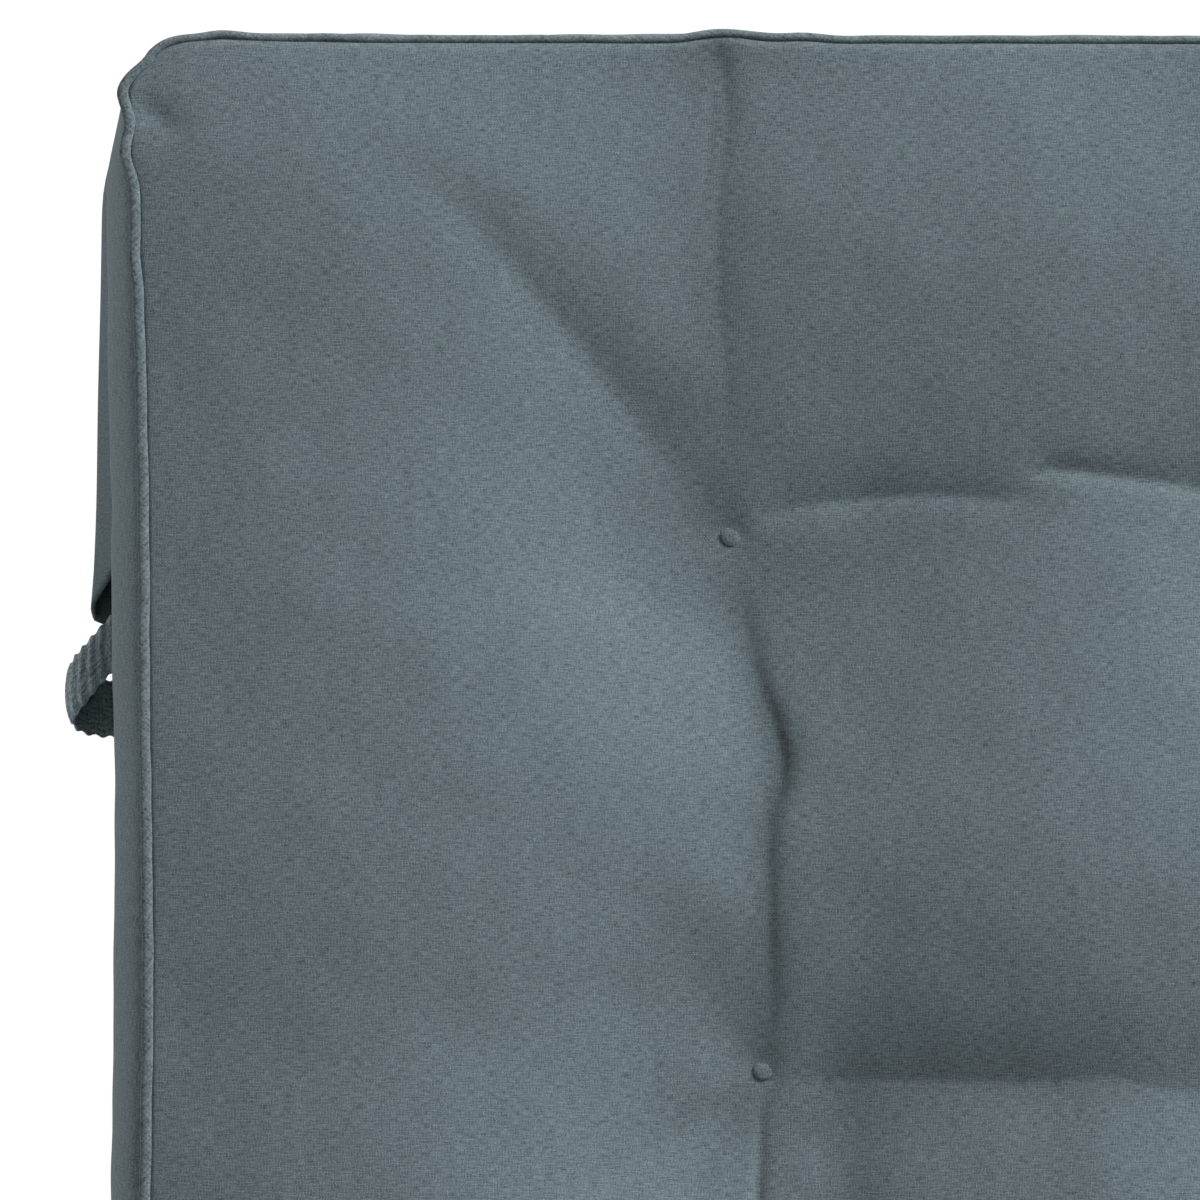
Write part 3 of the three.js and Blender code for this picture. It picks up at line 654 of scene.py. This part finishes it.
def pad_object():
    skin = Skin()
    grid_x, grid_y = np.meshgrid(across, along, indexing="ij")
    round_x, round_y = rounded_corner(grid_x, grid_y)
    wander_x, wander_y = seam_wander(grid_x, grid_y)
    place_x, place_y = round_x + wander_x, round_y + wander_y
    height = underside(place_y) + face_height(grid_x, grid_y, place_x, place_y)
    face_points = np.stack([place_x, place_y, height], -1)

    cells, edge, out, wander, run = border()
    lines = spline(BOXING_LINES, BOXING_STEPS)
    slack = corner_slack(*edge.T)
    puckers = unevenness(run[:-1], 0, PUCKERS)
    fuller = boxing_fullness(*edge.T)
    rings = []
    for level, (offset, up, follow) in enumerate(lines):
        belly = math.sin(math.pi * level / (len(lines) - 1)) ** 2
        tuck = CORNER_TUCK * np.clip((TUCK_BELOW - up) / (TUCK_BELOW - TUCK_FULL_AT), 0, 1)
        offset = np.minimum(offset, offset * slack - tuck * (1 - slack)) + belly * fuller
        place = edge + out * (offset + belly * puckers)[:, None] + wander * follow
        rings.append(np.column_stack([place, underside(edge[:, 1]) + up]))
    ring_index = [skin.add_points(ring) for ring in rings]

    face_index = np.zeros(grid_x.shape, int)
    inner = np.zeros(grid_x.shape, bool)
    inner[1:-1, 1:-1] = True
    face_index[inner] = skin.add_points(face_points[inner])
    face_index[tuple(np.transpose(cells))] = ring_index[0]
    skin.add_grid(face_index, np.stack([grid_x, grid_y], -1), flip=True)

    strip_index = np.array([np.append(ring, ring[0]) for ring in ring_index])
    strip_cloth = np.stack(np.meshgrid(-run_length(lines[:, :2]), run, indexing="ij")[::-1], -1)
    skin.add_grid(strip_index, strip_cloth)

    add_back(skin, cells, ring_index[-1], rings[-1])
    # Shade painted into the face's folds: each face point's share of it
    painted_shade = np.zeros(skin.size, np.float32)
    painted_shade[face_index[inner]] = painted_fold_shade(place_x, place_y)[inner]
    return skin.build("pad", painted_shade)


def add_back(skin, cells, rim_index, rim_points):
    """The plain back: every fourth line of the mesh inside, and every line along its rim."""
    points = dict(zip(cells, rim_points))
    index = dict(zip(cells, rim_index))
    stride = BACK_STRIDE
    right, foot = len(across) - 1, len(along) - 1
    inside = [(i, j) for i in range(stride, right, stride) for j in range(stride, foot, stride)]
    x, y = across[[i for i, _ in inside]], along[[j for _, j in inside]]
    dimple = sum(BACK_DIMPLE * hump(np.hypot(x - tuft_x, y - tuft_y), BACK_DIMPLE_REACH)
                 for tuft_x, tuft_y in TUFTS.values())
    inside_points = np.column_stack([x, y, underside(y) + dimple])
    points.update(zip(inside, inside_points))
    index.update(zip(inside, skin.add_points(inside_points)))
    for i in range(0, right, stride):
        for j in range(0, foot, stride):
            rim = [(i + k, j) for k in range(stride)] + [(i + stride, j + k) for k in range(stride)]
            rim += [(i + stride - k, j + stride) for k in range(stride)]
            rim += [(i, j + stride - k) for k in range(stride)]
            corners = [cell for cell in rim if cell in index]
            skin.add_face([index[cell] for cell in corners], [points[cell][:2] for cell in corners])


# Piping

# Half the cord's width and height on the sides and on the ends, and where it lies on the seam
PIPING_HALF_WIDTH = (1.95, 1.5)
PIPING_HALF_HEIGHT = (0.9, 1.55)
PIPING_OUTER_EDGE, PIPING_UP = 2.05, 0.8
PIPING_SIDES = 12

# Ripple of the piping: height along the whole seam, more at the head end's left corner and how far round it
PIPING_RIPPLE, PIPING_CORNER_RIPPLE, PIPING_CORNER_REACH = 0.18, 0.7, 60.0
PIPING_WAVE, PIPING_SEED = 22.0, 3.1


def piping_object():
    skin = Skin()
    _, edge, out, wander, run = border()
    from_corner = np.hypot(edge[:, 0] + HALF_WIDTH, edge[:, 1] - HALF_LENGTH)
    size = PIPING_RIPPLE + PIPING_CORNER_RIPPLE * hump(from_corner, PIPING_CORNER_REACH)
    ripple = size * waviness(run[:-1], 0, PIPING_WAVE, PIPING_SEED)
    half_width = between(*PIPING_HALF_WIDTH, np.abs(out[:, 1]))
    half_height = between(*PIPING_HALF_HEIGHT, np.abs(out[:, 1]))
    middle = underside(edge[:, 1]) + SEAM_HEIGHT + (PIPING_UP + PIPING_HALF_HEIGHT[1] - half_height)
    rings = []
    for turn in np.linspace(0, 2 * math.pi, PIPING_SIDES, endpoint=False):
        offset = PIPING_OUTER_EDGE + ripple + half_width * (math.cos(turn) - 1)
        place = edge + out * offset[:, None] + wander
        rings.append(np.column_stack([place, middle + half_height * math.sin(turn)]))
    index = np.array([skin.add_points(ring) for ring in rings])
    index = np.vstack([index, index[:1]])
    index = np.column_stack([index, index[:, 0]])
    girth = np.linspace(0, 2 * math.pi * PIPING_HALF_HEIGHT[1], PIPING_SIDES + 1)
    skin.add_grid(index, np.stack(np.meshgrid(girth, run, indexing="ij"), -1), flip=True)
    return skin.build("piping")


# Buttons

BUTTON_PROFILE = [(3.6, 0.0), (3.75, 0.3), (3.6, 0.6), (3.1, 0.9), (2.2, 1.15), (1.1, 1.27), (0.0, 1.3)]
BUTTON_SIDES, BUTTON_RINGS = 28, 14
BUTTON_SUNK = 0.8


def button_object(row, side):
    x, y = TUFTS[row, side]
    place = np.array([x]), np.array([y])
    seat = float(underside(y) + face_height(*place, *place)[0]) - BUTTON_SUNK
    skin = Skin()
    turns = np.linspace(0, 2 * math.pi, BUTTON_SIDES, endpoint=False)
    rings = [np.column_stack([x + radius * np.cos(turns), y + radius * np.sin(turns), 0 * turns + seat + up])
             for radius, up in spline(BUTTON_PROFILE, BUTTON_RINGS + 1)[:-1]]
    points = np.vstack([*rings, (x, y, seat), (x, y, seat + BUTTON_PROFILE[-1][1])])
    index = skin.add_points(points)
    table = index[:-2].reshape(BUTTON_RINGS, BUTTON_SIDES).T
    table = np.vstack([table, table[:1]])
    skin.add_grid(table, points[table][..., :2])
    for ring, tip, order in ((table[:, 0], index[-2], -1), (table[:, -1], index[-1], 1)):
        for pair in zip(ring, ring[1:]):
            corners = [*pair[::order], tip]
            skin.add_face(corners, points[corners][:, :2])
    return skin.build(f"button_cover_{row:02d}_{side}")


# Sheets: the hood and the strap

def sheet_object(name, outer, inner, cloth):
    """Closes a table of outer places and a table of inner places into one sheet, with painted shade over the inner
    side.
    """
    skin = Skin()
    a = skin.add_points(outer).reshape(outer.shape[:2])
    b = skin.add_points(inner).reshape(inner.shape[:2])
    skin.add_grid(a, cloth)
    skin.add_grid(b, cloth, flip=True)
    # The whole inner side takes painted shade, darkened as if in deep shadow
    painted_shade = np.zeros(skin.size, np.float32)
    painted_shade[b.ravel()] = 1.0
    every = slice(None)
    for at, flip in (((every, 0), True), ((every, -1), False), ((0, every), False), ((-1, every), True)):
        skin.add_grid(np.stack([a[at], b[at]], -1), np.stack([cloth[at], cloth[at]], 1), flip=flip)
    return skin.build(name, painted_shade)


HOOD_SHEET, HOOD_HEM_SHEET = 1.0, 1.5
HOOD_HEM, HOOD_HEM_STEP = 9.0, 1.5
HOOD_SEAM_HEIGHT, HOOD_WIDEST_AT = 22.0, 4.0
HOOD_SEAM_OUT, HOOD_CORNER_OUT = 2.8, -2.4
HOOD_TUCK = 8.0
HOOD_DEPTH_AT_SEAM, HOOD_DEPTH_BELOW, HOOD_MOUTH_CURVE = 167.0, 188.0, 0.75
HOOD_SAG, HOOD_SAG_PACE = 0.2, 0.083

# How far the hood stands out beside the pad: distance from the head end, amount
HOOD_BULGE = [
    (0, -3.4), (19, -3.4), (26, -1.7), (31, 0.2), (35, 1.4), (40, 2.6), (47, 3.35), (61, 3.9), (95, 5),
    (128, 6.15), (161, 7.4), (172, 8), (188, 9.4),
]
HOOD_HEAD_BULGE = 3.6

# The hood's wall above its widest place: share of the way out, a little more, height. Below it: back in, height.
HOOD_WALL_ABOVE = [(0.36, 0.2, 15), (0.7, 0.3, 9)]
HOOD_WALL_BELOW = [(0.8, 1.3), (3.4, 0.2)]
HOOD_WALL_STEPS, HOOD_WALL_CLOTH = 14, 2.2
HOOD_BULGE_PLACES = 90
HOOD_ACROSS = np.linspace(-1, 1, 71)
HOOD_ALONG = np.append(np.linspace(0, 0.95, 34), [0.965, 0.985, 1.0])


def hood_wall(level, bulge, slack, inset):
    """A place of the hood's edge, which runs from its seam on the boxing out and down and in under the pad."""
    top = between(HOOD_CORNER_OUT, HOOD_SEAM_OUT, slack)
    above = [(between(top, bulge, share) + more, up) for share, more, up in HOOD_WALL_ABOVE]
    below = [(bulge - back, up) for back, up in HOOD_WALL_BELOW]
    line = spline([(top, HOOD_SEAM_HEIGHT), *above, (bulge, HOOD_WIDEST_AT), *below, (-HOOD_TUCK, 0)],
                  HOOD_WALL_STEPS + 1)
    line[:, 1] = np.maximum(line[:, 1], 0)
    step_out, step_up = np.gradient(line, axis=0)[level]
    return line[level] + np.array([step_up, -step_out]) / np.hypot(step_out, step_up) * inset


def hood_tables(is_inner):
    """Places of the hood's outer or inner face, and where each lies on the flat cloth."""
    wall = HOOD_WALL_STEPS
    bulges = spline(HOOD_BULGE, HOOD_BULGE_PLACES)
    corner_bulge = HOOD_BULGE[0][1]
    columns = 2 * wall + len(HOOD_ACROSS) - 1
    rows = wall + len(HOOD_ALONG)
    places = np.zeros((columns + 1, rows, 3))
    cloth = np.zeros((columns + 1, rows, 2))
    for i in range(columns + 1):
        side = -1 if i < columns - i else 1
        from_side = min(i, columns - i, wall)
        spread = HOOD_ACROSS[min(max(i - wall, 0), len(HOOD_ACROSS) - 1)]
        for j in range(rows):
            from_head = min(j, wall)
            level = min(from_side, from_head)
            mouth = between(HOOD_DEPTH_AT_SEAM, HOOD_DEPTH_BELOW, (level / wall) ** HOOD_MOUTH_CURVE)
            depth = between(CORNER_RADIUS, mouth, HOOD_ALONG[max(0, j - wall)])
            hem = smoothstep(depth, mouth - HOOD_HEM, mouth - HOOD_HEM + HOOD_HEM_STEP)
            inset = between(HOOD_SHEET, HOOD_HEM_SHEET, hem) if is_inner else 0.0
            sag = HOOD_SAG * math.sin(depth * HOOD_SAG_PACE + side) * (depth / HOOD_DEPTH_BELOW)
            floor_corner = level == wall and j == wall and abs(spread) == 1
            if floor_corner or (from_side < wall and from_head < wall):
                angle = math.pi / 4 * (1 - (from_head - from_side) / max(1, wall - level))
                cos, sin = math.cos(angle), math.sin(angle)
                slack = corner_slack(HALF_WIDTH - CORNER_RADIUS * (1 - cos),
                                     HALF_LENGTH - CORNER_RADIUS * (1 - sin))
                out, up = hood_wall(level, corner_bulge, slack, inset)
                x = side * (HALF_WIDTH - CORNER_RADIUS + (CORNER_RADIUS + out) * cos)
                y = HALF_LENGTH - CORNER_RADIUS + (CORNER_RADIUS + out) * sin
            elif from_side < wall:
                bulge = np.interp(depth, bulges[:, 0], bulges[:, 1]) + sag
                out, up = hood_wall(level, bulge, corner_slack(HALF_WIDTH, HALF_LENGTH - depth), inset)
                x, y = side * (HALF_WIDTH + out), HALF_LENGTH - depth
            elif from_head < wall:
                x = spread * (HALF_WIDTH - CORNER_RADIUS)
                slack = corner_slack(x, HALF_LENGTH)
                out, up = hood_wall(level, between(corner_bulge, HOOD_HEAD_BULGE, slack), slack, inset)
                y = HALF_LENGTH + out
            else:
                x, y = spread * (HALF_WIDTH - HOOD_TUCK), HALF_LENGTH - (HOOD_TUCK if j == wall else depth)
                up = inset
            places[i, j] = x, y, up
            at_side, at_head = HOOD_WALL_CLOTH * (wall - from_side), HOOD_WALL_CLOTH * (wall - from_head)
            cloth[i, j] = (side * (HALF_WIDTH + at_side) if at_side else spread * HALF_WIDTH,
                           HALF_LENGTH + (at_head or -depth))
    return places, cloth


def hood_object():
    (outer, cloth), (inner, _) = hood_tables(False), hood_tables(True)
    return sheet_object("hood_cloth", outer, inner, cloth)


STRAP_WIDTH, STRAP_THICKNESS = 20.0, 2.6
STRAP_GATHER, STRAP_STEPS_A_GATHER = 4.6, 6
STRAP_LINE_PLACES, STRAP_LINES = 2400, 9
STRAP_CUP, STRAP_CLOTH_SHARE = 1.3, 1.6

# Ridges of the gathers: height, shares of it outside and inside, share lost at the edges
STRAP_RIDGE, STRAP_RIDGE_OUTSIDE, STRAP_RIDGE_INSIDE, STRAP_RIDGE_FADE = 0.75, 0.55, 0.25, 0.35

# The band's edges: how far in, their ripple and its shift, how thin and how sharp
STRAP_EDGE_IN, STRAP_EDGE_RIPPLE, STRAP_EDGE_SHIFT = 0.5, 0.45, 0.5
STRAP_EDGE_THINNER, STRAP_EDGE_SHARPNESS = 0.5, 6

# How the gathers drift and how their height varies: size, spread over the width, length and seed of waves
STRAP_DRIFT = (0.9, 14.0, 33.0, 1.9)
STRAP_VARIATION = (0.35, 9.0, 7.0, 0.7)

# The strap's left half from the boxing round its loop to its middle: across, along from the head end, up
STRAP_LEFT = [
    (-299.2, -190.3, 13.4), (-303.5, -194.3, 14.8), (-308, -198.9, 15), (-312.2, -203.6, 13.6),
    (-315.6, -207.4, 10.4), (-316.4, -210.2, 6.6), (-313, -212.6, 3.3), (-305, -214, 1.8), (-292, -214, 1.6),
    (-240, -214, 1.6), (-120, -214, 1.6),
]


def strap_object():
    left = np.array(STRAP_LEFT, float) + (0, HALF_LENGTH, 0)
    line = spline(np.vstack([left, (left * (-1, 1, 1))[::-1]]), STRAP_LINE_PLACES)[::-1]
    run = run_length(line)
    at = np.linspace(0, run[-1], int(run[-1] / STRAP_GATHER) * STRAP_STEPS_A_GATHER + 1)
    middle = np.column_stack([np.interp(at, run, line[:, k]) for k in range(3)])
    tangent = np.gradient(middle, axis=0)
    tangent /= np.linalg.norm(tangent, axis=1)[:, None]
    normal = np.cross(tangent, (0, 1, 0))
    normal /= np.linalg.norm(normal, axis=1)[:, None]
    curl = np.clip(np.abs(tangent[:, 2]) * 1.6 + 0.15, 0, 1)
    wide = np.linspace(-1, 1, STRAP_LINES)
    outer = np.zeros((len(at), len(wide), 3))
    inner = np.zeros_like(outer)
    for k, w in enumerate(wide):
        drift, variation = (size * waviness(at, w * spread, length, seed)
                            for size, spread, length, seed in (STRAP_DRIFT, STRAP_VARIATION))
        phase = 2 * math.pi * at / STRAP_GATHER + drift
        ridge = STRAP_RIDGE * (np.sin(phase) + variation) * (1 - STRAP_RIDGE_FADE * w * w)
        half = STRAP_WIDTH / 2 - STRAP_EDGE_IN + STRAP_EDGE_RIPPLE * np.sin(phase + STRAP_EDGE_SHIFT * np.sign(w))
        thick = (STRAP_THICKNESS / 2 - STRAP_EDGE_IN) * (1 - STRAP_EDGE_THINNER * abs(w) ** STRAP_EDGE_SHARPNESS)
        cup = STRAP_CUP * (0.5 - w * w) * curl
        across_line = middle + np.column_stack([0 * at, w * half, 0 * at]) + normal * cup[:, None]
        outer[:, k] = across_line + normal * (thick + ridge * STRAP_RIDGE_OUTSIDE)[:, None]
        inner[:, k] = across_line - normal * (thick + STRAP_RIDGE_INSIDE - ridge * STRAP_RIDGE_INSIDE)[:, None]
    below = min(outer[..., 2].min(), inner[..., 2].min(), 0)
    outer[..., 2] -= below
    inner[..., 2] -= below
    cloth = np.stack(np.meshgrid(at * STRAP_CLOTH_SHARE, wide * STRAP_WIDTH / 2, indexing="ij"), -1)
    return sheet_object("strap_band", outer, inner, cloth)


# Materials

# Sockets of the Mix node for numbers and for colours, whose names repeat
NUMBER_SOCKETS, COLOUR_SOCKETS = (2, 3, 0), (6, 7, 2)

# The weave: noise of the yarn and of broader blotches, and how warp and weft stretch and shift the yarn's noise
YARN_NOISE = {"Scale": 1.1, "Detail": 2.0, "Roughness": 0.65}
BLOTCH_NOISE = {"Scale": 160.0, "Detail": 3.0, "Roughness": 0.6}
WARP, WEFT = (0.2, 3.7), (0.12, 91.3)
WARP_ON_TOP, WARP_SHARE = 1.6, 0.42
YARN_CONTRAST, BLOTCH_CONTRAST = 2.1, 0.1
YARN_RELIEF, CROSSING_RELIEF = 0.9, 0.25

CLOTH_SHADER = {"Roughness": 0.93, "Specular IOR Level": 0.12, "Sheen Weight": 0.03, "Sheen Roughness": 0.6}
BUMP_STRENGTH = 0.8


def feed(tree, node, inputs):
    """Sets a node's inputs, each to a value or to the socket that it comes from."""
    for name, value in dict(inputs).items():
        if isinstance(value, bpy.types.NodeSocket):
            tree.links.new(value, node.inputs[name])
        else:
            node.inputs[name].default_value = value


def add_node(tree, kind, inputs=(), **settings):
    node = tree.nodes.new("ShaderNode" + kind)
    for name, setting in settings.items():
        setattr(node, name, setting)
    feed(tree, node, inputs)
    return node.outputs


def calculate(tree, operation, *values, **settings):
    return add_node(tree, "Math", enumerate(values), operation=operation, **settings)[0]


def noise(tree, vector, values):
    return add_node(tree, "TexNoise", {"Vector": vector, **values}, noise_dimensions="2D")[0]


def mix(tree, factor, first, second, sockets, **settings):
    a, b, result = sockets
    return add_node(tree, "Mix", {"Factor": factor, a: first, b: second}, **settings)[result]


def weave_group():
    """A plain weave of slubby yarn: how light each thread is, and how far it stands up."""
    group = bpy.data.node_groups.new("plain weave", "ShaderNodeTree")
    for name, way, kind in (("Cloth", "INPUT", "Vector"), ("Threads", "INPUT", "Float"),
                            ("Tone", "OUTPUT", "Float"), ("Relief", "OUTPUT", "Float")):
        group.interface.new_socket(name, in_out=way, socket_type="NodeSocket" + kind)
    given = group.nodes.new("NodeGroupInput").outputs
    split = add_node(group, "SeparateXYZ", {0: given["Cloth"]})
    x, y = (calculate(group, "MULTIPLY", split[k], given["Threads"]) for k in range(2))

    def yarn(along_axis, across_axis, stretch, shift):
        stretched = calculate(group, "MULTIPLY_ADD", along_axis, stretch, shift)
        return noise(group, add_node(group, "CombineXYZ", {0: stretched, 1: across_axis})[0], YARN_NOISE)

    warp = yarn(y, x, *WARP)
    weft = yarn(x, y, *WEFT)
    waves = [calculate(group, "SINE", calculate(group, "MULTIPLY", axis, math.pi)) for axis in (x, y)]
    over = calculate(group, "MULTIPLY", *waves)
    on_top = calculate(group, "MULTIPLY_ADD", over, WARP_ON_TOP, WARP_SHARE, use_clamp=True)
    thread = mix(group, on_top, weft, warp, NUMBER_SOCKETS)
    blotch = noise(group, given["Cloth"], BLOTCH_NOISE)
    tone = calculate(group, "MULTIPLY_ADD", calculate(group, "SUBTRACT", thread, 0.5), YARN_CONTRAST, 0.5)
    tone = calculate(group, "MULTIPLY_ADD", calculate(group, "SUBTRACT", blotch, 0.5), BLOTCH_CONTRAST, tone)
    crossing = calculate(group, "MULTIPLY", calculate(group, "ABSOLUTE", over), CROSSING_RELIEF)
    relief = calculate(group, "MULTIPLY_ADD", thread, YARN_RELIEF, crossing)
    feed(group, group.nodes.new("NodeGroupOutput"), {"Tone": tone, "Relief": relief})
    return group


WEAVE = weave_group()


def srgb(red, green, blue):
    linear = [c / 255 / 12.92 if c <= 10 else ((c / 255 + 0.055) / 1.055) ** 2.4 for c in (red, green, blue)]
    return (*linear, 1.0)


def cloth_material(name, dark, light, threads=2000.0, bias=0.0, bump=0.0002, painted_shade=None):
    """Woven cloth between a dark and a light colour, with shade painted into its folds or over its inner side; the
    last argument is how light that painted shade is.
    """
    material = bpy.data.materials.new(name)
    material.use_nodes = True
    tree = material.node_tree
    place = add_node(tree, "UVMap", uv_map="cloth")[0]
    turned = add_node(tree, "Mapping", {"Vector": place, "Rotation": (0.0, 0.0, bias)})[0]
    weave = add_node(tree, "Group", {"Cloth": turned, "Threads": threads}, node_tree=WEAVE)
    colour = mix(tree, weave["Tone"], srgb(*dark), srgb(*light), COLOUR_SOCKETS, data_type="RGBA")
    # Painted shade: the colour is darkened by each point's share of it
    if painted_shade:
        share = add_node(tree, "Attribute", attribute_name=PAINTED_SHADE_ATTRIBUTE)["Fac"]
        colour = mix(tree, share, colour, (painted_shade, painted_shade, painted_shade, 1.0), COLOUR_SOCKETS, data_type="RGBA",
                     blend_type="MULTIPLY")
    relief = add_node(tree, "Bump", {"Height": weave["Relief"], "Distance": bump, "Strength": BUMP_STRENGTH})[0]
    feed(tree, tree.nodes["Principled BSDF"], {"Base Color": colour, "Normal": relief, **CLOTH_SHADER})
    return material


def dress(obj, material, node):
    obj.data.materials.append(material)
    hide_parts(node)
    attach(obj, "root")


# Camera, light and floor

PHOTO_SIDE = 1200
PIXELS_A_MM = 3.02
VIEW_CENTRE_ACROSS, VIEW_CENTRE_UP = -148.4, 766.7
VIEW_TILT = 7.0
CAMERA_AWAY = 16.0
CAMERA_SEES_TO = 100.0
SENSOR_WIDTH = 36.0

FLOOR_HALF_SIDE, FLOOR_LEVEL = 8.0, -0.0006
FLOOR_SHADER = {"Base Color": (0.05, 0.05, 0.05, 1.0), "Roughness": 0.9, "Emission Color": (1.0, 1.0, 1.0, 1.0),
                "Emission Strength": 1.0}
STUDIO_LIGHT = {"Color": (1.0, 1.0, 1.0, 1.0), "Strength": 0.12}


def add_camera():
    lean = math.tan(math.radians(VIEW_TILT))
    back = Vector((-lean, -lean, 1.0)).normalized()
    up = Vector((0.0, 1.0, -back.y / back.z)).normalized()
    right = up.cross(back)
    target = (right * VIEW_CENTRE_ACROSS + up * VIEW_CENTRE_UP) * MM
    data = bpy.data.cameras.new("camera")
    data.sensor_width = SENSOR_WIDTH
    data.lens = data.sensor_width * CAMERA_AWAY / (PHOTO_SIDE / PIXELS_A_MM * MM)
    data.clip_end = CAMERA_SEES_TO
    camera = add_object("camera", data)
    place = Matrix((right, up, back)).transposed().to_4x4()
    place.translation = target + back * CAMERA_AWAY
    camera.matrix_world = place
    bpy.context.scene.camera = camera


def add_sun(name, around, height, softness, strength):
    """A soft far light, from its direction round from +Y to +X and its height above the floor, in degrees."""
    data = bpy.data.lights.new(name, "SUN")
    data.energy = strength
    data.angle = math.radians(softness)
    around, height = math.radians(around), math.radians(height)
    towards = Vector((math.cos(height) * math.sin(around), math.cos(height) * math.cos(around), math.sin(height)))
    add_object(name, data).rotation_euler = towards.to_track_quat("Z", "Y").to_euler()


def add_floor():
    mesh = bpy.data.meshes.new("floor")
    side, level = FLOOR_HALF_SIDE, FLOOR_LEVEL
    mesh.from_pydata([(-side, -side, level), (side, -side, level), (side, side, level), (-side, side, level)], [],
                     [(0, 1, 2, 3)])
    material = bpy.data.materials.new("floor")
    material.use_nodes = True
    feed(material.node_tree, material.node_tree.nodes["Principled BSDF"], FLOOR_SHADER)
    mesh.materials.append(material)
    add_object("floor", mesh)


def add_light():
    world = bpy.data.worlds.new("studio")
    world.use_nodes = True
    feed(world.node_tree, world.node_tree.nodes["Background"], STUDIO_LIGHT)
    bpy.context.scene.world = world
    add_sun("key", around=50.0, height=26.0, softness=26.0, strength=5.0)
    add_sun("fill from the left", around=-95.0, height=35.0, softness=90.0, strength=0.54)


# The last number of a cloth is how light its painted shade is; on the pad it is the shade painted into the folds
pad_cloth = cloth_material("pad cloth", (64, 76, 80), (128, 142, 147), painted_shade=0.62)
piping_cloth = cloth_material("piping cloth", (64, 76, 80), (126, 139, 144), threads=1200.0, bias=0.9,
                              bump=0.00012)
button_cloth = cloth_material("button cloth", (64, 76, 80), (124, 138, 143))
# The hood's and the strap's inner sides are painted with shade, their colour darkened to this share
hood_cloth = cloth_material("hood cloth", (66, 78, 82), (113, 127, 132), painted_shade=0.55)
# Painted light: the strap's light colour is set far above the pad's to brighten its outer side, which the lamps
# leave dim
strap_cloth = cloth_material("strap cloth", (66, 79, 84), (184, 200, 206), threads=1000.0, painted_shade=0.48)

add_camera()
add_light()
add_floor()

pad = pad_object()
dress(pad, pad_cloth, "cushion")

dress(piping_object(), piping_cloth, "face_piping")

for tuft_row, tuft_side in TUFTS:
    button = button_object(tuft_row, tuft_side)
    dress(button, button_cloth, f"button_{tuft_row:02d}_{tuft_side}")

hood = hood_object()
dress(hood, hood_cloth, "hood")

strap = strap_object()
dress(strap, strap_cloth, "strap")

bpy.context.scene.view_settings.view_transform = "Standard"
